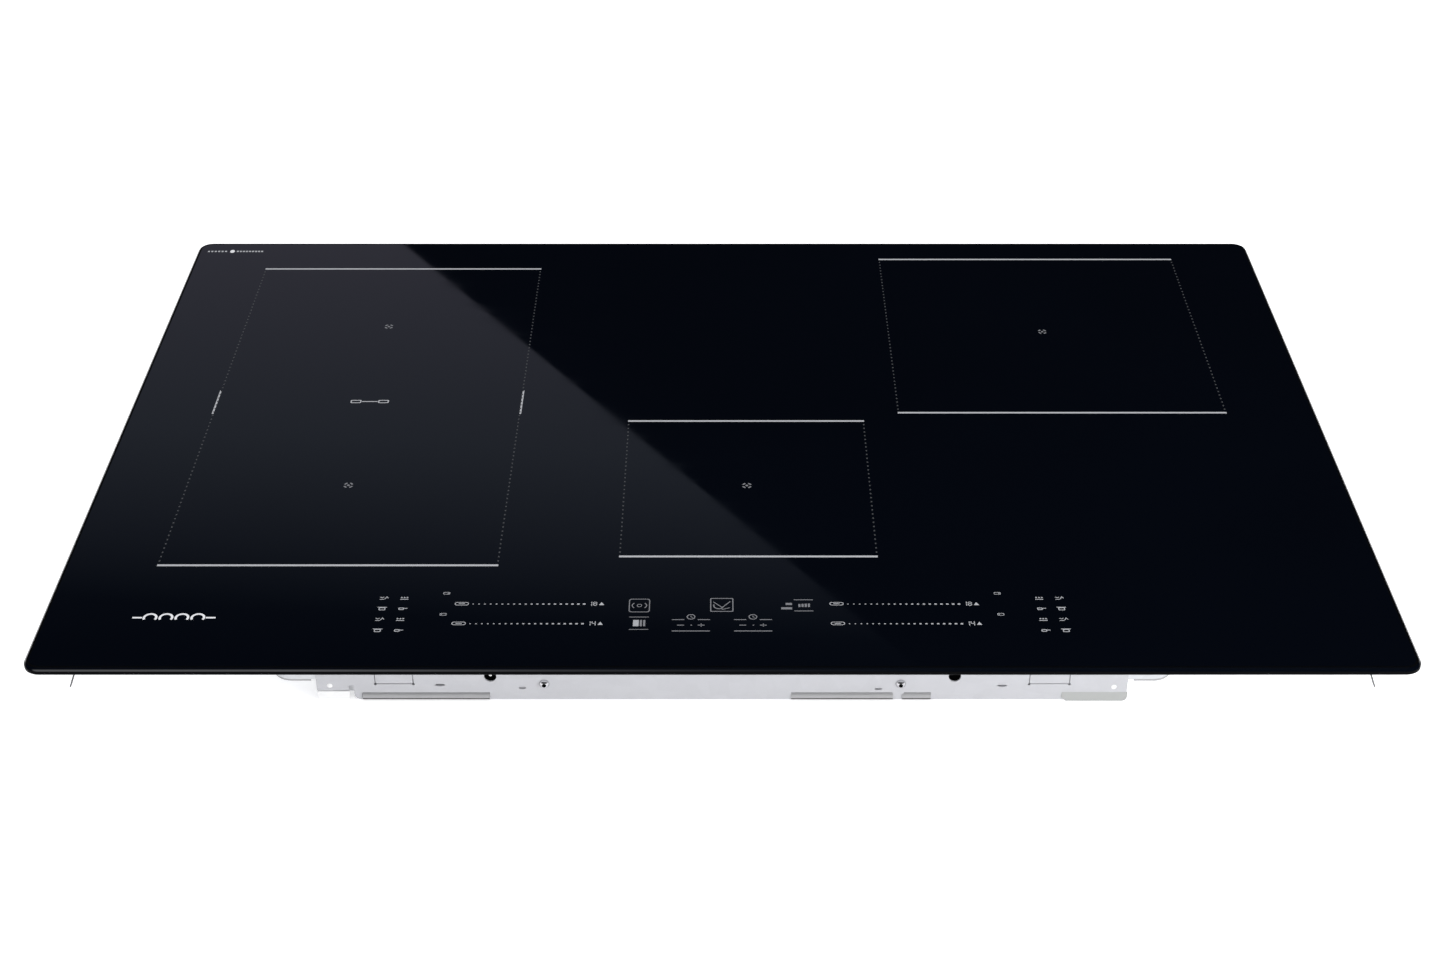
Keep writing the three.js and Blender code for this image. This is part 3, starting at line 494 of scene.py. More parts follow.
def glass_sheet():
    """The panel: polished bevel with softened edges, a gentler slope above it, and a matt rim."""
    corner, bevel, drop, arris, soft, rim = 10.0, 0.75, 0.62, 0.5, 0.12, 1.3
    slope = 0.48  # how much farther the front's upper slope runs in than the other sides'
    proud = 0.6  # the sawn front edge stands this far out
    low, high = GLASS_LOW, GLASS_HIGH

    def level(z, inset, front=0.0):
        area = (low.x + inset, low.y - proud + inset + front, high.x - inset, high.y - inset)
        return (z, rounded_rect(*area, corner - inset, 14))

    levels = [
        level(low.z, arris + soft),
        level(low.z + soft * 0.4, arris),
        level(low.z + arris, soft * 0.3),
        level(low.z + arris + soft, 0.0),
        level(high.z - drop - bevel - soft, 0.0),
        level(high.z - drop - bevel, soft * 0.3),
        level(high.z - drop, bevel),
        level(high.z - drop + soft * 0.5, bevel + soft),
        level(high.z - soft * 0.3, bevel + drop - soft, slope),
        level(high.z, bevel + drop, slope),
        level(high.z, bevel + drop + rim, slope),
    ]
    made = Build().stack(levels).piece(
        "glass_sheet", GLASS, "black_glass", smooth=25, stands_for=("glass_panel",)
    )
    made.data.materials.append(GROUND_EDGE)
    work = bmesh.new()
    work.from_mesh(made.data)
    bevel_foot = (high.z - drop - bevel) * MM
    for face in work.faces:
        if abs(face.normal.z) > 0.999:  # the flat top and underside keep their own normals
            face.smooth = False
            for edge in face.edges:
                edge.smooth = False
        below_bevel = face.calc_center_median().z < bevel_foot and face.normal.z > -0.999
        in_rim = face.normal.z > 0.999 and len(face.verts) == 4
        if below_bevel or in_rim:
            face.material_index = 1
    work.to_mesh(made.data)
    work.free()


glass_sheet()


# ------------------------------------------------------------------ printed marks


INK_LOW = GLASS_TOP - 0.01
INK_HIGH = GLASS_TOP + 0.03


class Print(Build):
    """Flat marks on the glass, drawn in plan."""

    def bar(self, x0, y0, x1, y1):
        return self.block((min(x0, x1), min(y0, y1), INK_LOW), (max(x0, x1), max(y0, y1), INK_HIGH))

    def shape(self, outline):
        return self.prism(outline, INK_LOW, INK_HIGH)

    def dot(self, x, y, radius, sides=8):
        angles = [2 * math.pi * i / sides for i in range(sides)]
        return self.shape([(x + radius * math.cos(a), y + radius * math.sin(a)) for a in angles])

    def line(self, points, width):
        """A mitred stroke along points, as one outline."""
        left, right = [], []
        count = len(points)
        for i, (x, y) in enumerate(points):
            px, py = points[max(i - 1, 0)]
            nx, ny = points[min(i + 1, count - 1)]
            d1 = Vector((x - px, y - py)) if i else Vector((nx - x, ny - y))
            d2 = Vector((nx - x, ny - y)) if i + 1 < count else d1
            normal = (Vector((-d1.y, d1.x)).normalized() + Vector((-d2.y, d2.x)).normalized()).normalized()
            side = Vector((-d1.y, d1.x)).normalized()
            reach = width / 2 / max(0.4, normal.dot(side))
            left.append((x + normal.x * reach, y + normal.y * reach))
            right.append((x - normal.x * reach, y - normal.y * reach))
        return self.shape(right + left[::-1])

    def loop(self, outline, width):
        """A closed stroke just inside outline."""
        count = len(outline)
        cx = sum(x for x, _ in outline) / count
        cy = sum(y for _, y in outline) / count
        half_x = max(abs(x - cx) for x, _ in outline)
        half_y = max(abs(y - cy) for _, y in outline)
        fx, fy = 1 - width / half_x, 1 - width / half_y
        inner = [(cx + (x - cx) * fx, cy + (y - cy) * fy) for x, y in outline]
        points = [(x, y, z) for z in (INK_LOW, INK_HIGH) for x, y in outline + inner]
        faces = []
        for i in range(count):
            j = (i + 1) % count
            bottom_out, bottom_in = (i, j), (count + i, count + j)
            top_out, top_in = (2 * count + i, 2 * count + j), (3 * count + i, 3 * count + j)
            faces.append((bottom_out[0], bottom_in[0], bottom_in[1], bottom_out[1]))
            faces.append((top_out[0], top_out[1], top_in[1], top_in[0]))
            faces.append((bottom_out[0], bottom_out[1], top_out[1], top_out[0]))
            faces.append((bottom_in[1], bottom_in[0], top_in[0], top_in[1]))
        return self.add(points, faces)

    def arc(self, x, y, radius, start, end, width, steps=10):
        """A curved stroke; angles in degrees."""
        angles = [math.radians(start + (end - start) * i / steps) for i in range(steps + 1)]
        outer = [(x + (radius + width / 2) * math.cos(a), y + (radius + width / 2) * math.sin(a)) for a in angles]
        inner = [(x + (radius - width / 2) * math.cos(a), y + (radius - width / 2) * math.sin(a)) for a in angles]
        return self.shape(outer + inner[::-1])

    SEGMENTS = {"0": "abcdef", "1": "bc", "2": "abged", "4": "fgbc", "8": "abcdefg", "9": "abcdfg", "5": "afgcd"}

    def digit(self, char, x, y, height, stroke=0.42):
        """A seven-bar digit whose lower left corner is (x, y). Returns its width."""
        width = height * 0.58
        bars = {
            "a": ((0, height), (width, height)),
            "g": ((0, height / 2), (width, height / 2)),
            "d": ((0, 0), (width, 0)),
            "b": ((width, height / 2), (width, height)),
            "c": ((width, 0), (width, height / 2)),
            "f": ((0, height / 2), (0, height)),
            "e": ((0, 0), (0, height / 2)),
        }
        half = stroke / 2
        for key in self.SEGMENTS[char]:
            (ax, ay), (bx, by) = bars[key]
            self.bar(x + ax - half, y + ay - half, x + bx + half, y + by + half)
        return width


# Zones: lowest and highest x and y of each marked square.
BRIDGE_ZONE = (-330.3, -156.8, -131.0, 213.7)
REAR_ZONE = (113.6, 14.3, 326.8, 228.5)
FRONT_ZONE = (-60.8, -147.8, 91.2, 4.0)
ZONES = (BRIDGE_ZONE, REAR_ZONE, FRONT_ZONE)


def zone_marks():
    thick = 1.8
    edges = Print()
    for x0, y0, x1, y1 in ZONES:
        edges.bar(x0, y0 - thick / 2, x1, y0 + thick / 2)
        edges.bar(x0, y1 - thick / 2, x1, y1 + thick / 2)
    edges.piece("print_zone_edges", INK, "print_ink")

    sides = Print()
    pitch, size = 4.4, 0.9
    for x0, y0, x1, y1 in ZONES:
        count = int((y1 - y0) / pitch)
        step = (y1 - y0) / count
        for x in (x0 + size / 2, x1 - size / 2):
            for i in range(1, count):
                y = y0 + i * step
                sides.bar(x - size / 2, y - size * 0.75, x + size / 2, y + size * 0.75)
    sides.piece("print_zone_sides", INK_FAINT, "print_ink")

    ticks = Print()
    for x in (BRIDGE_ZONE[0], BRIDGE_ZONE[2]):
        ticks.bar(x - 0.55, 12.8, x + 0.55, 42.3)
    ticks.piece("print_bridge_ticks", INK, "print_ink")


def centre_marks():
    """A small four-part target over the middle of each coil."""
    marks = Print()
    for name in COILS:
        c = centre_of(f"{name}_winding")
        for start in (20, 110, 200, 290):
            marks.arc(c.x, c.y, 2.5, start, start + 50, 1.1, 5)
        marks.dot(c.x, c.y, 0.9)
    marks.piece("print_centres", INK_KEY, "print_ink")


def bridge_symbol(marks):
    """Two squares joined by a link, for the zone whose two coils work as one."""
    y = 28.3
    for x in (-243.0, -225.0):
        marks.loop(rounded_rect(x, y - 1.9, x + 7, y + 1.9, 0.9, 3), 0.75)
    marks.bar(-235.6, y - 0.45, -225.4, y + 0.45)


def coil_sign(marks):
    """The drawing sign for a coil: four loops between two leads."""
    x, y, radius, lead, length, loops, stroke = -333.5, -208.0, 3.5, 5.5, 47.0, 4, 1.35
    marks.bar(x, y - stroke / 2, x + lead, y + stroke / 2)
    marks.bar(x + length - lead, y - stroke / 2, x + length, y + stroke / 2)
    step = (length - 2 * lead) / loops
    for i in range(loops):
        marks.arc(x + lead + step * (i + 0.5), y, radius, -30, 210, stroke, 16)


CORNER_Y = 241.2


def corner_rule(marks):
    """A dashed rule on either side of a spot, in the panel's rear left corner."""
    for first, pitch, count in ((-377.2, 2.5, 6), (-356.0, 2.22, 9)):
        for i in range(count):
            x = first + pitch * i
            marks.bar(x, CORNER_Y - 1.0, x + 1.45, CORNER_Y + 1.0)


SLIDER_ROWS = (-195.0, -213.7)


def slider(marks, x0, row, level):
    """Stop symbol, growing dots, top level and a boost arrow."""
    middle = row + 0.3
    marks.loop(rounded_rect(x0, middle - 1.5, x0 + 8.0, middle + 1.5, 1.4, 4), 0.40)
    marks.bar(x0 + 2.2, middle - 0.25, x0 + 5.8, middle + 0.25)
    first, pitch, count = x0 + 10.5, 3.33, 20
    for i in range(count):
        x, half = first + pitch * i, 0.34 + 0.32 * i / (count - 1)
        marks.bar(x - half * 1.1, row - half * 0.9, x + half * 1.1, row + half * 0.9)
    x = first + pitch * count - 0.9
    for char in level:
        x += marks.digit(char, x, middle - 1.6, 3.2, 0.46) + 1.0
    marks.shape([(x + 0.3, middle - 1.3), (x + 3.3, middle - 1.3), (x + 1.8, middle + 1.5)])


def pot_icon(marks, x, y, kind):
    """Small cookware symbols, about 5 mm wide; kind picks the cooking method."""
    if kind == 0:  # simmering pot: two short waves over a base
        marks.line([(x - 2.4, y + 1.0), (x - 1.2, y + 0.2), (x - 0.1, y + 1.0)], 0.5)
        marks.line([(x + 0.4, y - 0.9), (x + 1.4, y + 1.2), (x + 2.4, y - 0.2)], 0.5)
        marks.bar(x - 2.4, y - 1.5, x + 0.2, y - 1.0)
    elif kind == 1:  # lidded pot
        marks.loop(rounded_rect(x - 1.9, y - 1.6, x + 1.9, y + 1.0, 0.5, 3), 0.55)
        marks.bar(x - 2.7, y + 1.0, x + 2.7, y + 1.5)
    elif kind == 2:  # pan with a handle
        marks.loop(rounded_rect(x - 2.3, y - 1.3, x + 0.9, y + 0.9, 0.7, 3), 0.6)
        marks.bar(x + 0.9, y - 0.1, x + 2.8, y + 0.5)
    else:  # melting: three drops on a line
        for dx in (-1.6, 0.0, 1.6):
            marks.dot(x + dx, y + 0.5, 0.6, 6)
        marks.bar(x - 2.3, y - 1.5, x + 2.3, y - 0.9)


def function_icons(icons):
    """Two columns of four symbols at each end, and the two locators beside each slider pair."""
    for i, y in enumerate((-189.2, -199.3, -209.4, -219.8)):
        inner, outer = ((0, 3), (1, 2))[i % 2]
        for side in (-1, 1):
            pot_icon(icons, side * 181.5 - 0.4, y, outer)
            pot_icon(icons, side * 193.1 - 0.4, y, inner)
    for side in (-1, 1):
        for y, shift in ((-184.6, 0.9), (-204.8, -0.9)):
            x = side * 157.9 - 0.3
            icons.loop(rounded_rect(x - 1.9, y - 1.1, x + 1.9, y + 1.1, 0.5, 3), 0.34)
            icons.dot(x + shift, y, 0.4, 6)


def key_frames(keys):
    # Pan-sensing key: a frame round a ring between two brackets.
    keys.loop(rounded_rect(-53.3, -202.8, -41.3, -190.0, 1.6, 4), 0.52)
    keys.arc(-48.7, -196.4, 2.7, 125, 235, 0.55)
    keys.arc(-45.9, -196.4, 2.7, -55, 55, 0.55)
    keys.arc(-47.3, -196.4, 1.3, 0, 350, 0.45, 14)
    # Lock key: two rules above and below its block of bars.
    for y in (-207.4, -219.0):
        keys.bar(-52.6, y - 0.25, -41.6, y + 0.25)
    # Heating key: a frame round a tilted pan with steam.
    keys.loop(rounded_rect(-7.0, -202.3, 6.2, -189.3, 0.7, 3), 0.58)
    keys.arc(-2.0, -196.5, 3.0, 160, 320, 0.7)
    keys.line([(-5.2, -192.9), (-0.2, -198.3), (4.4, -192.5)], 0.55)
    keys.line([(-0.4, -200.3), (4.2, -198.5)], 0.5)
    # Timer keys: a clock over a pair of rules, with a minus and a plus between them.
    for x in (-17.8, 17.2):
        for side in (-1, 1):
            keys.bar(x + side * 10.7, -210.1, x + side * 3.8, -209.5)
            keys.bar(x + side * 7.7, -215.3, x + side * 3.9, -214.7)
        keys.bar(x - 10.7, -220.8, x + 10.7, -220.1)
        keys.arc(x, -207.2, 2.2, 0, 350, 0.6, 16)
        keys.line([(x, -206.1), (x, -207.3), (x + 1.0, -207.8)], 0.45)
        keys.dot(x + 0.2, -215.0, 0.45, 6)
        keys.bar(x + 5.5, -216.3, x + 6.1, -213.7)


def power_key(marks):
    """Two rules round four short bars, with two small labels beside it."""
    for y in (-190.9, -201.6):
        marks.bar(40.8, y - 0.3, 51.6, y + 0.3)
    for i in range(4):
        x = 43.2 + 1.8 * i
        marks.bar(x, -197.8, x + 1.2, -195.0 + 0.15 * i)
    for y, width in ((-194.9, 3.6), (-199.1, 6.2)):
        marks.bar(39.6 - width, y - 1.0, 39.6, y + 1.0)


def controls():
    sliders = Print()
    for row, level in zip(SLIDER_ROWS, ("18", "14")):
        slider(sliders, -152.6, row, level)
        slider(sliders, 61.0, row, level)
    bridge_symbol(sliders)
    corner_rule(sliders)
    sliders.piece("print_sliders", INK, "print_ink")

    icons = Print()
    function_icons(icons)
    icons.bar(-50.4, -216.0, -47.2, -210.2)
    icons.piece("print_function_icons", INK_ICON, "print_ink")

    keys = Print()
    key_frames(keys)
    power_key(keys)
    for i in range(2):
        keys.bar(-46.6 + 1.9 * i, -216.0, -45.4 + 1.9 * i, -210.2)
    keys.piece("print_key_frames", INK_KEY, "print_ink")

    solid = Print()
    coil_sign(solid)
    spot = [2 * math.pi * i / 16 for i in range(16)]
    solid.shape([(-359.2 + 1.7 * math.cos(a), CORNER_Y + 2.3 * math.sin(a)) for a in spot])
    solid.piece("print_white_marks", INK_WHITE, "print_ink")


zone_marks()
centre_marks()
controls()


# ------------------------------------------------------------------ carried-over CAD nodes


def finish_node(name, material, edge=0.0):
    """Gives a CAD node its material and, if edge is set, softened edges."""
    node = nodes[name]
    node.data.materials.clear()
    node.data.materials.append(material)
    if edge:
        weld = node.modifiers.new("weld", "WELD")
        weld.merge_threshold = 0.001 * MM
        flat = node.modifiers.new("flat", "DECIMATE")
        flat.decimate_type = "DISSOLVE"
        flat.angle_limit = math.radians(0.5)
        rounded = node.modifiers.new("rounded", "BEVEL")
        rounded.width = edge * MM
        rounded.segments = 2
        rounded.limit_method = "ANGLE"
        rounded.angle_limit = math.radians(42)
    return node


finish_node("perimeter_seal", FOAM)
finish_node("coil_pan", ZINC)
finish_node("coil_deck", ALUMINIUM)
finish_node("electronics_tray", ZINC)
finish_node("bottom_cover", ZINC)
finish_node("front_bracket", BRACKET_SHEET)
finish_node("touch_board_carrier", BLACK)
finish_node("touch_board", BOARD_GREEN)
finish_node("light_guide", IVORY)
finish_node("ribbon_cable", GREY)
finish_node("filter_board", BOARD_GREEN)
finish_node("terminal_box", BLACK)
finish_node("terminal_block", IVORY)
finish_node("cable_clamp", BLACK)
finish_node("terminal_lid", BLACK)
for side in ("left", "right"):
    finish_node(f"{side}_power_board", BOARD_GREEN)
    finish_node(f"{side}_heat_sink", EXTRUSION)
    finish_node(f"{side}_capacitor", BLUE)
    finish_node(f"{side}_fan_housing", BLACK)
    finish_node(f"{side}_fan_impeller", BLACK)
    for end in ("front", "rear"):
        finish_node(f"side_clip_{end}_{side}", SPRING_STEEL_SHADED)
for coil in COILS:
    finish_node(f"{coil}_plate", ALUMINIUM)


# ------------------------------------------------------------------ hardware


def pan_head(parts, place, axis, radius, height, segments=28):
    """A screw head whose flat side sits on place, standing out along axis."""
    profile = [
        (0, -0.4),
        (radius * 0.97, -0.4),
        (radius, 0.0),
        (radius, height * 0.38),
        (radius * 0.93, height * 0.66),
        (radius * 0.76, height * 0.9),
        (radius * 0.52, height),
        (radius * 0.42, height),
        (radius * 0.30, height * 0.35),
        (0, height * 0.3),
    ]
    return parts.turned(profile, place, segments, axis)


DRIVER_RECESS = 0.42  # of the head's radius


def dome_head(parts, place, axis, radius, height, segments=32):
    """A round screw head with a deep driver recess."""
    sphere = (radius**2 + height**2) / (2 * height)
    edge = math.asin(radius / sphere)
    recess = radius * DRIVER_RECESS
    steps = 8
    profile = [(0, -0.4), (radius * 0.97, -0.4)]
    for i in range(steps + 1):
        slope = edge + (math.asin(recess / sphere) - edge) * i / steps
        profile.append((sphere * math.sin(slope), height - sphere * (1 - math.cos(slope))))
    profile += [(recess * 0.8, height * 0.5), (recess * 0.5, height * 0.25), (0, height * 0.2)]
    return parts.turned(profile, place, segments, axis)


def front_screws():
    """The two bracket screws: polished domes with a driver recess, painted near black inside as shade."""
    for side in ("left", "right"):
        node = f"front_screw_{side}"
        c = centre_of(node)
        place = (c.x, BRACKET_LOW.y, c.z)
        head = Build()
        radius = 3.0
        dome_head(head, place, "-y", radius, 2.1)
        head.turned([(0, -8.5), (1.5, -8.5), (1.5, -0.2), (0, -0.2)], place, 16, "-y")
        made = head.piece(
            f"bracket_screw_{side}", SCREW_BRIGHT, "screw_steel", smooth=40, stands_for=(node,)
        )
        made.data.materials.append(WELL_SHADE_BLACK)  # painted shade: near black down in the recess
        for face in made.data.polygons:
            off = face.center / MM - Vector(place)
            if off.y < 0 and math.hypot(off.x, off.z) < radius * DRIVER_RECESS * 0.97:
                face.material_index = 1


HEM_SPANS = ((-207.0, -133.9), (39.5, 98.0), (103.4, 119.8))
ACCESS_X, ACCESS_Z, ACCESS_RADIUS = 132.9, -32.0, 3.55
# Pressed louvres beside the slits of the bracket: x, z, half length and depth.
LANCES = (
    (-162.0, -38.1, 3.5, 1.6),
    (-114.8, -40.3, 2.4, 1.1),
    (89.4, -41.0, 2.3, 1.0),
    (160.4, -38.6, 3.3, 1.6),
)
RIVETS = ((-225.3, -38.6), (224.6, -39.5))


def strip_details():
    """What shows in the front strip: the cover's rolled hem, darker than the cover as painted shade, screw wells
    filled with near-black painted shade and a pale painted glint in the left one, rivets painted pale as light, and
    louvres.
    """
    y = BRACKET_LOW.y
    hem_z, hem_r = COVER_LOW.z + 2.1, 2.5
    hem = Build()
    for x0, x1 in HEM_SPANS:
        outline = []
        for i in range(13):
            a = math.radians(-90 + 15 * i)
            outline.append((y + 1.0 - (hem_r - 0.7) * math.cos(a), hem_z + hem_r * math.sin(a)))
        start = len(hem.points)
        hem.prism(outline, x0, x1)
        hem.points[start:] = [(x, a, b) for a, b, x in hem.points[start:]]
    # The hem is darker than the cover's zinc and its underside near black: painted shade.
    made = hem.piece("cover_hem", HEM_SHADED_STEEL, "cover_steel", smooth=25)
    made.data.materials.append(HEM_UNDERSIDE_SHADE)  # painted shade on the faces that turn down
    for face in made.data.polygons:
        if face.normal.z < -0.15:
            face.material_index = 1

    wells, glints = Build(), Build()
    # Near-black discs of painted shade fill the access holes; a small pale head in the left one is a painted glint.
    for x in (-ACCESS_X, ACCESS_X):
        profile = [(0, 0), (ACCESS_RADIUS, 0), (ACCESS_RADIUS, -4.0), (0, -4.0)]
        wells.turned(profile, (x, y + 0.9, ACCESS_Z), 32, "-y")
    pan_head(glints, (-ACCESS_X + 0.1, y + 0.9, ACCESS_Z + 0.7), "-y", 0.9, 0.5, 20)
    wells.piece("screw_wells", WELL_SHADE_BLACK, "box_plastic")
    glints.piece("screw_well_tip", PALE_LIT_SHEET, "screw_steel", smooth=40)

    rivets = Build()
    for x, z in RIVETS:
        rivets.turned([(0, -0.8), (1.62, -0.8), (1.62, 0.1), (1.2, 0.4), (0, 0.5)], (x, y + 0.2, z), 24, "-y")
    # The rivet heads are near white: painted light.
    rivets.piece("bracket_rivets", PALE_LIT_SHEET, "bracket_paint", smooth=40)

    lances = Build()
    for x, z, half, depth in LANCES:
        steps = 8
        for i in range(steps):
            t0, t1 = -1 + 2 * i / steps, -1 + 2 * (i + 1) / steps
            drop0, drop1 = depth * (1 - t0 * t0) ** 0.5, depth * (1 - t1 * t1) ** 0.5
            out0, out1 = 0.9 * (1 - t0 * t0), 0.9 * (1 - t1 * t1)
            a, b = x + half * t0, x + half * t1
            lances.add(
                [
                    (a, y + 0.1, z), (b, y + 0.1, z), (a, y - out0, z), (b, y - out1, z),
                    (a, y + 0.1, z - drop0 - 0.01), (b, y + 0.1, z - drop1 - 0.01),
                ],
                [(0, 2, 3, 1), (2, 4, 5, 3), (0, 1, 5, 4), (0, 4, 2), (1, 3, 5)],
            )
    lances.piece("bracket_lances", BRACKET_SHEET, "bracket_paint", smooth=25)


def clip_screws():
    for end in ("front", "rear"):
        for side, axis in (("left", "-x"), ("right", "x")):
            node = f"clip_screw_{end}_{side}"
            low, high = box_mm(node)
            c = (low + high) / 2
            # The head's seat is where the leaf's screw hole is; the shank runs inwards.
            seat = high.x - 1.8 if side == "right" else low.x + 1.8
            parts = Build()
            pan_head(parts, (seat, c.y, c.z), axis, 2.95, 1.75)
            parts.turned([(0, -6.8), (1.35, -6.8), (1.35, -0.3), (0, -0.3)], (seat, c.y, c.z), 16, axis)
            parts.piece(f"{node}_fine", SCREW_STEEL, "screw_steel", smooth=40, stands_for=(node,))


def flange_screws():
    """Small screws that hold the tray under the pan and the cover under the tray."""
    parts = Build()
    tray_z, cover_z = PAN_LOW.z - 1.25, TRAY_LOW.z - 1.0
    for y in (-170, -80, 10, 100, 185):
        for x in (TRAY_LOW.x + 2.9, TRAY_HIGH.x - 2.9):
            pan_head(parts, (x, y, tray_z), "-z", 2.3, 1.4, 20)
    for x in (-190, -65, 65, 190):
        pan_head(parts, (x, TRAY_HIGH.y - 2.9, tray_z), "-z", 2.3, 1.4, 20)
    for y in (-150, -20, 120):
        for x in (COVER_LOW.x + 2.9, COVER_HIGH.x - 2.9):
            pan_head(parts, (x, y, cover_z), "-z", 2.3, 1.4, 20)
    for x in (-170, 0, 170):
        pan_head(parts, (x, COVER_HIGH.y - 2.9, cover_z), "-z", 2.3, 1.4, 20)
    parts.piece("flange_screws", SCREW_STEEL, "screw_steel", smooth=40)


def bracket_lips():
    """Folded ends of the front strip: a low lip at the left, painted near white as light, and a doubled tab at the
    right, painted darker than the strip as shade.
    """
    y = BRACKET_LOW.y
    base = BRACKET_LOW.z
    ear_base = -41.8
    left = Build()
    left.prism(rounded_rect(-233.0, y + 0.2, -214.5, y + 1.2, 0.3, 2), base + 0.1, ear_base - 1.0)
    left.piece("bracket_lip_left", PALE_LIT_SHEET, "bracket_paint", bevel=0.2)
    right = Build()
    end, top, radius = BRACKET_HIGH.x + 0.5, -43.2, 3.0
    outline = [(195.0, top), (end, top), (end, base - 0.4 + radius)]
    for i in range(1, 5):
        a = -math.pi / 2 * i / 4
        outline.append((end - radius + radius * math.cos(a), base - 0.4 + radius + radius * math.sin(a)))
    outline += [(197.5, base - 0.4), (195.0, base + 1.8)]
    right.prism(outline, -0.3, 0.9)
    # Its front leans out from the strip, from nothing at the top to its full 0.9 mm at the bottom.
    height_of = top - (base - 0.4)
    right.points = [
        (x, y - (z if z < 0 else 0.06 + 0.84 * (top - height) / height_of), height)
        for x, height, z in right.points
    ]
    right.piece("bracket_tab_right", TAB_SHADED_SHEET, "bracket_paint")


def tray_edges():
    """The rolled lower edge of the tray, from beside the bracket round each corner to the back."""
    radius, corner, lip = 0.8, 11.0, 6.0  # lip: the tray's flange, beyond its wall
    z = TRAY_LOW.z - 0.75
    for name, sign in (("left", -1), ("right", 1)):
        side = TRAY_HIGH.x - lip - radius
        front = BRACKET_LOW.y + 2.3
        path = [(sign * 236.0, front, z), (sign * (side - corner), front, z)]
        for i in range(1, 9):
            a = math.pi / 2 * i / 8
            path.append(
                (sign * (side - corner + corner * math.sin(a)), front + corner * (1 - math.cos(a)), z)
            )
        path.append((sign * side, TRAY_HIGH.y - lip - 20.0, z))
        # painted shade: the edge is darker than the tray's zinc
        Build().tube(path, radius, 10).piece(f"tray_edge_{name}", TRAY_EDGE_SHADED, "tray_steel", smooth=60)


def blank_plate():
    """Foil plate under the cover, left blank."""
    z = COVER_LOW.z
    parts = Build()
    parts.prism(rounded_rect(-60, -96, 60, -26, 3, 5), z - 0.15, z + 0.02)
    parts.piece("blank_plate", FOIL, "cover_steel")


# ------------------------------------------------------------------ coils


def spiral_winding(coil):
    """One flat spiral of litz bundle, taller than wide."""
    low, high = box_mm(f"{coil}_winding")
    c = (low + high) / 2
    half_w, half_h, pitch, sides = 1.62, (high.z - low.z) / 2 - 0.1, 3.3, 8
    outer = (high.y - low.y) / 2 - half_w
    inner = 21.5 + half_w
    turns = int((outer - inner) / pitch)
    steps = turns * 44
    points, faces = [], []
    for i in range(steps + 1):
        angle = 2 * math.pi * turns * i / steps
        r = inner + (outer - inner) * i / steps
        for k in range(sides):
            phase = 2 * math.pi * (k + 0.5) / sides
            rr = r + half_w * 1.05 * math.cos(phase)
            points.append((c.x + rr * math.cos(angle), c.y + rr * math.sin(angle), c.z + half_h * math.sin(phase)))
    for i in range(steps):
        a, b = i * sides, (i + 1) * sides
        for k in range(sides):
            n = (k + 1) % sides
            faces.append((a + k, a + n, b + n, b + k))
    faces.append(tuple(reversed(range(sides))))
    faces.append(tuple(range(steps * sides, (steps + 1) * sides)))
    Build().add(points, faces).piece(
        f"{coil}_turns", COPPER, "winding", f"{coil}_coil", smooth=60, stands_for=(f"{coil}_winding",)
    )


def coil_parts(coil):
    body = f"{coil}_coil"
    spiral_winding(coil)
    low, high = box_mm(f"{coil}_former")
    c = (low + high) / 2
    rim = (high.y - low.y) / 2
    former = Build()
    former.ring(
        [(17, low.z), (rim, low.z), (rim, high.z - 0.3), (rim - 0.3, high.z), (rim - 1.2, high.z),
         (rim - 1.5, low.z + 3.5), (20.6, low.z + 3.5), (20.6, high.z + 1.5), (17, high.z + 1.5)],
        (c.x, c.y, 0), 96,
    )
    former.piece(f"{coil}_carrier", BLACK, "former", body, smooth=30, stands_for=(f"{coil}_former",))

    plate_low, _ = box_mm(f"{coil}_plate")
    sensor_low, sensor_high = box_mm(f"{coil}_sensor")
    sensor = Build()
    sensor.turned(
        [(0, sensor_low.z), (13.6, sensor_low.z), (14, sensor_low.z + 0.4), (14, sensor_low.z + 2),
         (8.4, sensor_low.z + 3), (8, sensor_low.z + 3.4), (8, sensor_high.z - 1), (7.6, sensor_high.z - 0.7),
         (5.2, sensor_high.z - 0.6), (5, sensor_high.z - 0.3), (4.6, sensor_high.z), (0, sensor_high.z)],
        (c.x, c.y, 0), 40,
    )
    sensor.piece(f"{coil}_probe", IVORY, "sensor", body, smooth=30, stands_for=(f"{coil}_sensor",))

    leads = Build()
    for shift in (-4.5, 4.5):
        x = c.x + shift
        edge = c.y - rim - 3.2
        leads.tube(
            [(x, c.y - rim + 5, high.z + 0.9), (x, edge + 2.2, high.z + 0.6), (x, edge, high.z - 1.4),
             (x, edge, plate_low.z - 1.4), (x, edge + 2.2, plate_low.z - 3.0), (x, c.y - 52, plate_low.z - 3.0),
             (x, c.y - 47, plate_low.z - 4.4), (x, c.y - 45.5, -24)],
            1.25, 10,
        )
    leads.piece(f"{coil}_leads", WIRE_WHITE, "winding", body, smooth=60)

    spring_low, spring_high = box_mm(f"{coil}_spring")
    wire, turns = 0.6, 3.5
    bottom, top = spring_low.z + 0.65, spring_high.z - 0.62
    path = []
    steps = int(turns * 36)
    for i in range(steps + 1):
        share = i / steps
        lift = min(1.0, max(0.0, (share - 0.2) / 0.6))
        a = 2 * math.pi * turns * share
        path.append((c.x + 9 * math.cos(a), c.y + 9 * math.sin(a), bottom + (top - bottom) * lift))
    made = Build().tube(path, wire, 10).piece(
        f"{coil}_coil_spring", SPRING_STEEL_SHADED, "spring", smooth=60, stands_for=(f"{coil}_spring",)
    )
    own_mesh(made)


# ------------------------------------------------------------------ power modules


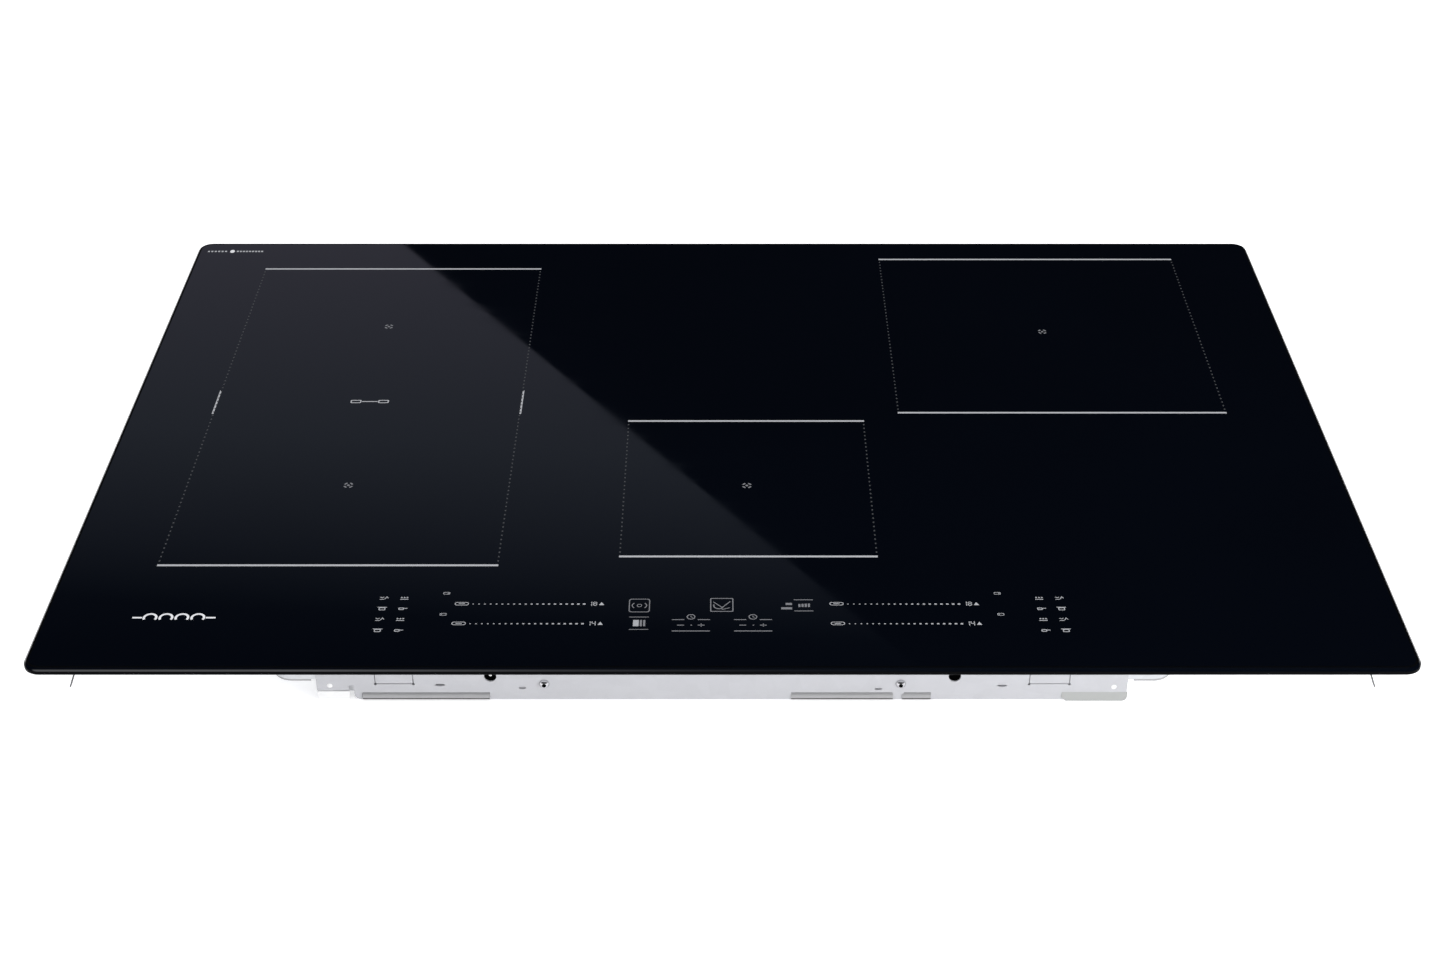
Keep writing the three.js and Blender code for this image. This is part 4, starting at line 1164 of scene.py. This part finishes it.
def wound_ring(name, node, slot_name="choke"):
    """A ring core with evenly wound enamelled wire."""
    low, high = box_mm(node)
    c = (low + high) / 2
    section = (high.z - low.z) / 2
    radius = (high.y - low.y) / 2 - section
    wire, loops = 1.05, 26
    core_r = section - 2 * wire - 0.1
    ring = Build()
    profile = [
        (radius + core_r * math.cos(2 * math.pi * i / 14), core_r * math.sin(2 * math.pi * i / 14)) for i in range(14)
    ]
    ring.ring(profile, tuple(c), 56)
    ring.piece(f"{name}_core", FERRITE, slot_name, smooth=50)
    coils = Build()
    for i in range(loops):
        angle = 2 * math.pi * i / (loops + 2)
        path = []
        for k in range(18):
            b = 2 * math.pi * k / 18
            r = radius + (section - wire) * math.cos(b)
            twist = angle + 0.10 * math.sin(b)
            path.append((c.x + r * math.cos(twist), c.y + r * math.sin(twist), c.z + (section - wire) * math.sin(b)))
        coils.tube(path, wire, 8, closed=True)
    coils.piece(f"{name}_wire", ENAMEL, slot_name, smooth=60, stands_for=(node,))


def board_parts(side, shift):
    """What stands on a power board besides its CAD solids."""
    random.seed(7 if side == "left" else 11)
    top = BOARD_HIGH.z
    sink_low, sink_high = box_mm(f"{side}_heat_sink")
    dark, metal, ivory, caps = Build(), Build(), Build(), Build()
    for y in (-78, -42, -6):  # power transistors clamped to the heat sink
        x = sink_low.x
        dark.prism(rounded_rect(x - 4.6, y - 8, x - 0.05, y + 8, 0.4, 2), top + 4, top + 24)
        for dy in (-5.4, 0, 5.4):
            metal.block((x - 2.9, y + dy - 0.6, top - 0.2), (x - 2.2, y + dy + 0.6, top + 4.5))
    for i in range(3):  # electrolytic capacitors
        place = (shift - 40, -86 + i * 26, 0)
        caps.turned(
            [(0, top), (8.4, top), (9, top + 0.8), (9, top + 17.4), (8.2, top + 18.2), (7.4, top + 18.2),
             (7.2, top + 17.9), (0, top + 17.9)],
            place, 32,
        )
    for i in range(16):  # small chips
        x, y = shift + random.uniform(-150, -30), random.uniform(24, 33)
        if i % 2:
            x, y = shift + random.uniform(-222, -216), random.uniform(-100, 26)
        dark.block((x - 2.2, y - 1.6, top), (x + 2.2, y + 1.6, top + 1.6))
    for i in range(3):  # plug connectors
        x = shift - 205 + i * 30
        ivory.block((x - 8, 24, top), (x + 8, 32, top + 9))
        for k in range(4):
            metal.block((x - 6 + 4 * k - 0.4, 27.6, top + 8), (x - 6 + 4 * k + 0.4, 28.4, top + 11))
    low, high = box_mm(f"{side}_power_board")
    for x in (low.x + 8, high.x - 8):
        for y in (low.y + 8, high.y - 8):
            pan_head(metal, (x, y, top), "z", 3.0, 1.8, 20)
    dark.piece(f"{side}_board_chips", BLACK, "circuit_board", bevel=0.25)
    metal.piece(f"{side}_board_pins", SCREW_STEEL, "screw_steel")
    ivory.piece(f"{side}_board_plugs", IVORY, "terminal_block", bevel=0.3)
    caps.piece(f"{side}_board_cans", ALUMINIUM, "heat_sink", smooth=35)


def filter_parts():
    low, high = box_mm("filter_board")
    top = high.z
    film, blocks, metal = Build(), Build(), Build()
    for i, x in enumerate((-18, 56)):
        film.prism(rounded_rect(x - 9, 62, x + 9, 84, 1.2, 4), top, top + 17)
        film.prism(rounded_rect(x - 6, 146, x + 6, 168, 1.2, 4), top, top + 13)
    for i in range(4):
        x = 6 + i * 9.5
        blocks.block((x - 4, 172, top), (x + 4, 182, top + 9))
        metal.block((x - 2.2, 180, top + 3), (x + 2.2, 185.5, top + 4))
    for x in (low.x + 8, high.x - 8):
        for y in (low.y + 8, high.y - 8):
            pan_head(metal, (x, y, top), "z", 3.0, 1.8, 20)
    film.piece("filter_films", YELLOW, "capacitor", bevel=0.4)
    blocks.piece("filter_tabs", BLACK, "box_plastic", bevel=0.3)
    metal.piece("filter_pins", BRASS, "screw_steel")


def smooth_path(points, steps=8):
    """Catmull-Rom curve through the points."""
    points = [Vector(p) for p in points]
    padded = [points[0]] + points + [points[-1]]
    path = []
    for i in range(len(points) - 1):
        a, b, c, d = padded[i : i + 4]
        for k in range(steps):
            t = k / steps
            path.append(
                0.5 * ((2 * b) + (c - a) * t + (2 * a - 5 * b + 4 * c - d) * t * t + (3 * b - a - 3 * c + d) * t**3)
            )
    return path + [points[-1]]


def wiring():
    """Mains wires from the terminals to the filter, and the fan leads."""
    wires = (("brown", WIRE_RED, 0), ("blue", WIRE_BLUE, 1), ("earth", WIRE_GREEN, 2))
    for name, material, i in wires:
        path = smooth_path(
            [(296.5 + 11.5 * i, 133, -28), (294 + 9 * i, 127.5, -27.2), (284, 123 + (i - 1) * 2.6, -27.5),
             (268, 123 + (i - 1) * 2.6, -28), (252, 123 + (i - 1) * 2.6, -28), (215, 160 + 4 * i, -26.5 + i),
             (120, 168 + 5 * i, -19.2), (60, 172 + 4 * i, -24), (16 + 9.5 * i, 188 + i, -34), (15.5 + 9.5 * i, 185, -39.6)]
        )
        Build().tube(path, 1.25, 10).piece(f"mains_wire_{name}", material, "ribbon", smooth=60)
    for side, shift in (("left", 0), ("right", MODULE_PITCH)):
        fan = Build()
        for k in (-1, 1):
            path = smooth_path(
                [(shift - 100 + k, 56, -20.4), (shift - 112 + k, 46, -20.0), (shift - 132 + k, 36, -24), (shift - 145 + 2 * k, 29, -34)]
            )
            fan.tube(path, 0.8, 8)
        fan.piece(f"fan_leads_{side}", WIRE_BLACK, "ribbon", smooth=60)


def terminal_parts():
    """Clamp screws and cage plates in the terminal block's wells."""
    parts = Build()
    for i in range(5):
        x = 308 + (i - 2) * 11.5
        pan_head(parts, (x, 137, -30.2), "-z", 2.7, 1.4, 24)
        parts.block((x - 3.4, 143, -28.4), (x + 3.4, 153, -27.2))
    parts.piece("terminal_screws", BRASS, "screw_steel", smooth=40)


YELLOW = plastic("yellow_film", (0.55, 0.38, 0.04), 0.4)
ENAMEL = bright_metal("enamelled_wire", (0.52, 0.17, 0.05), 0.3)
SCREW_BRIGHT = bright_metal("screw_bright", (0.62, 0.62, 0.64), 0.12)
# Darker than the cover's zinc: painted shade for the hem, which faces down at the foot of the strip.
HEM_SHADED_STEEL = sheet_metal("hem_steel", (0.37, 0.37, 0.375), 0.3, 0.45, 0.02, 0.02)
# Near black: painted shade for the hem's underside.
HEM_UNDERSIDE_SHADE = sheet_metal("hem_edge", (0.05, 0.05, 0.052), 0.3, 0.6, 0.02, 0.02)
# Darker, faintly green grey than the bracket sheet it folds from: painted shade for the doubled tab.
TAB_SHADED_SHEET = sheet_metal("tab_sheet", (0.38, 0.388, 0.38), 0.25, 0.45, 0.02, 0.02)
# Darker than the tray's zinc: painted shade for the tray's rolled edge.
TRAY_EDGE_SHADED = sheet_metal("tray_edge", (0.42, 0.42, 0.425), 0.4, 0.45, 0.02, 0.02)
# Near black with no reflection: painted shade inside the screw wells and screw recesses.
WELL_SHADE_BLACK = plastic("well_black", (0.0008, 0.0008, 0.0009), 0.9)
next(n for n in WELL_SHADE_BLACK.node_tree.nodes if n.type == "BSDF_PRINCIPLED").inputs["Specular IOR Level"].default_value = 0.0
# Near white, far paler than the bracket paint: painted light for the left lip and the rivets, and a painted glint in
# the left screw well.
PALE_LIT_SHEET = sheet_metal("lip_sheet", (0.80, 0.80, 0.80), 0.1, 0.5, 0.02, 0.02)
FOIL = bright_metal("plate_foil", (0.72, 0.72, 0.73), 0.35)
front_screws()
clip_screws()
flange_screws()
strip_details()
bracket_lips()
tray_edges()
blank_plate()
for coil in COILS:
    coil_parts(coil)
for side, shift in (("left", 0.0), ("right", MODULE_PITCH)):
    board_parts(side, shift)
    wound_ring(f"{side}_inductor", f"{side}_inductor")
wound_ring("filter_choke", "filter_choke")
filter_parts()
wiring()
terminal_parts()


# ------------------------------------------------------------------ floor, light and camera


def floor():
    mesh = bpy.data.meshes.new("floor")
    half = 6.0
    z = cad_bounds[0].z - 0.0005
    corners = [(-half, -half, z), (half, -half, z), (half, half, z), (-half, half, z)]
    mesh.from_pydata(corners, [], [(0, 1, 2, 3)])
    made = bpy.data.objects.new("floor", mesh)
    scene.collection.objects.link(made)
    s = Surface("floor_paper", 0.0, 0.9, (0.92, 0.92, 0.925))
    s.colour(s.blend(s.ranged(s.noise(3, 3), 0.3, 0.7, 0.0, 1.0), (0.91, 0.91, 0.915), (0.93, 0.93, 0.935)))
    s.shader.inputs["Specular IOR Level"].default_value = 0.1
    # A lit table: the paper glows a little, which keeps the shadow under the hob pale.
    s.shader.inputs["Emission Color"].default_value = (1.0, 1.0, 1.0, 1.0)
    s.shader.inputs["Emission Strength"].default_value = 0.5
    # Seen from below the paper isn't there, so the underside can be looked at.
    clear = s.node("ShaderNodeBsdfTransparent")
    choose = s.node("ShaderNodeMixShader")
    s.link(s.node("ShaderNodeNewGeometry").outputs["Backfacing"], choose.inputs["Fac"])
    s.link(s.shader.outputs["BSDF"], choose.inputs[1])
    s.link(clear.outputs["BSDF"], choose.inputs[2])
    s.link(choose.outputs["Shader"], s.tree.nodes["Material Output"].inputs["Surface"])
    mesh.materials.append(s.material)


def studio_world():
    """White tent for diffuse light. Glossy rays see a darker tent, with a graded card behind the
    hob and a softbox in front of it, so the glass stays black and shows one slanted reflection."""
    world = bpy.data.worlds.new("studio")
    scene.world = world
    world.use_nodes = True
    tree = world.node_tree
    tree.nodes.clear()
    make, link = tree.nodes.new, tree.links.new

    direction = make("ShaderNodeTexCoord").outputs["Generated"]
    split = make("ShaderNodeSeparateXYZ")
    link(direction, split.inputs["Vector"])

    def ramp(value, low, high, stops, kind="LINEAR"):
        """Maps value from low..high on to a colour ramp of (position, colour) stops."""
        scale = make("ShaderNodeMapRange")
        scale.inputs["From Min"].default_value = low
        scale.inputs["From Max"].default_value = high
        link(value, scale.inputs["Value"])
        made = make("ShaderNodeValToRGB")
        made.color_ramp.interpolation = kind
        elements = made.color_ramp.elements
        while len(elements) < len(stops):
            elements.new(0.5)
        for element, (position, colour) in zip(elements, stops):
            element.position = (position - low) / (high - low)
            element.color = (*colour, 1.0)
        link(scale.outputs["Result"], made.inputs["Fac"])
        return made.outputs["Color"]

    def math_node(kind, a, b=None, clamp=False):
        made = make("ShaderNodeMath")
        made.operation = kind
        made.use_clamp = clamp
        for socket, value in zip(made.inputs, (a, b)):
            if value is None:
                continue
            if isinstance(value, (int, float)):
                socket.default_value = value
            else:
                link(value, socket)
        return made.outputs["Value"]

    def mix(share, first, second):
        made = make("ShaderNodeMix")
        made.data_type = "RGBA"
        link(share, made.inputs["Factor"])
        for socket, value in zip([s for s in made.inputs if s.type == "RGBA"], (first, second)):
            if isinstance(value, tuple):
                socket.default_value = (*value, 1.0)
            else:
                link(value, socket)
        return next(s for s in made.outputs if s.type == "RGBA")

    # Tent seen in reflections: pale near the horizon and below, dim above.
    dim = (0.004, 0.004, 0.005)
    tent = ramp(
        split.outputs["Z"], -1, 1,
        [(-1, (0.8,) * 3), (0.12, (0.8,) * 3), (0.34, dim), (0.85, dim), (1, (0.04, 0.04, 0.045))],
    )

    # The card: brightest low down, fading upwards, cut off along a slanted edge. Rise over run
    # away from the camera, tilted a little, so that the left side fades sooner.
    run = math_node("MAXIMUM", split.outputs["Y"], 0.05)
    rise = math_node("DIVIDE", math_node("SUBTRACT", split.outputs["Z"], math_node("MULTIPLY", split.outputs["X"], 0.07)), run)
    card = ramp(
        rise, 0.4, 1.0,
        [
            (0.40, (0.27, 0.26, 0.33)),
            (0.53, (0.25, 0.245, 0.31)),
            (0.64, (0.165, 0.184, 0.228)),
            (0.71, (0.074, 0.083, 0.108)),
            (0.755, (0.013, 0.0145, 0.019)),
            (0.79, (0.004, 0.004, 0.005)),
            (0.95, dim),
        ],
    )
    # Directions along the card's edge: towards its lower and its upper end.
    edge_low = Vector((-0.235, 1.4796, 0.7559))
    edge_high = Vector((0.065, 1.0356, 0.7559))
    normal = edge_low.cross(edge_high).normalized()
    if normal.x > 0:
        normal = -normal
    dot = make("ShaderNodeVectorMath")
    dot.operation = "DOT_PRODUCT"
    link(direction, dot.inputs[0])
    dot.inputs[1].default_value = normal
    beyond_edge = math_node("MULTIPLY", dot.outputs["Value"], 900.0, clamp=True)
    behind = math_node("MULTIPLY", math_node("SUBTRACT", split.outputs["Y"], 0.3), 8.0, clamp=True)
    above = math_node("MULTIPLY", math_node("SUBTRACT", split.outputs["Z"], 0.36), 40.0, clamp=True)
    on_card = math_node("MULTIPLY", math_node("MULTIPLY", beyond_edge, behind), above)
    seen = mix(on_card, tent, card)

    # Softbox high in front, stronger towards the left.
    in_front = math_node("MULTIPLY", math_node("SUBTRACT", -0.2, split.outputs["Y"]), 6.0, clamp=True)
    high_up = math_node("MULTIPLY", math_node("SUBTRACT", split.outputs["Z"], 0.62), 8.0, clamp=True)
    leftward = math_node("MULTIPLY", math_node("SUBTRACT", 0.17, split.outputs["X"]), 2.7, clamp=True)
    leftward = math_node("POWER", leftward, 2.4)
    in_box = math_node("MULTIPLY", math_node("MULTIPLY", in_front, high_up), leftward)
    seen = mix(in_box, seen, (1.8, 1.8, 1.85))

    path = make("ShaderNodeLightPath")
    glossy = make("ShaderNodeBackground")
    link(seen, glossy.inputs["Color"])
    diffuse = make("ShaderNodeBackground")
    diffuse.inputs["Color"].default_value = (1.0, 1.0, 1.02, 1.0)
    diffuse.inputs["Strength"].default_value = 0.85
    choose = make("ShaderNodeMixShader")
    link(path.outputs["Is Glossy Ray"], choose.inputs["Fac"])
    link(diffuse.outputs["Background"], choose.inputs[1])
    link(glossy.outputs["Background"], choose.inputs[2])
    output = make("ShaderNodeOutputWorld")
    link(choose.outputs["Shader"], output.inputs["Surface"])


def area_light(name, place, target, size, power):
    light = bpy.data.lights.new(name, "AREA")
    light.size = size
    light.energy = power
    made = bpy.data.objects.new(name, light)
    made.location = place
    made.rotation_euler = (Vector(target) - Vector(place)).to_track_quat("-Z", "Y").to_euler()
    made.visible_glossy = False
    scene.collection.objects.link(made)


def camera():
    """At the cook's side, looking along +Y and down on to the glass."""
    lens = bpy.data.cameras.new("camera")
    lens.sensor_width = 36.0
    lens.lens = 55.75
    lens.clip_start = 0.01
    made = bpy.data.objects.new("camera", lens)
    made.location = (0.0, -1.2246, 0.7559 + GLASS_TOP * MM)
    made.rotation_euler = (math.radians(90 - 33.15), 0.0, 0.0)
    scene.collection.objects.link(made)
    scene.camera = made


floor()
studio_world()
area_light("key", (0.6, -1.6, 1.9), (0, 0, 0), 1.6, 22)
area_light("side", (1.1, -1.0, 0.25), (0.1, -0.2, 0), 0.5, 10)
camera()
scene.view_settings.view_transform = "Standard"
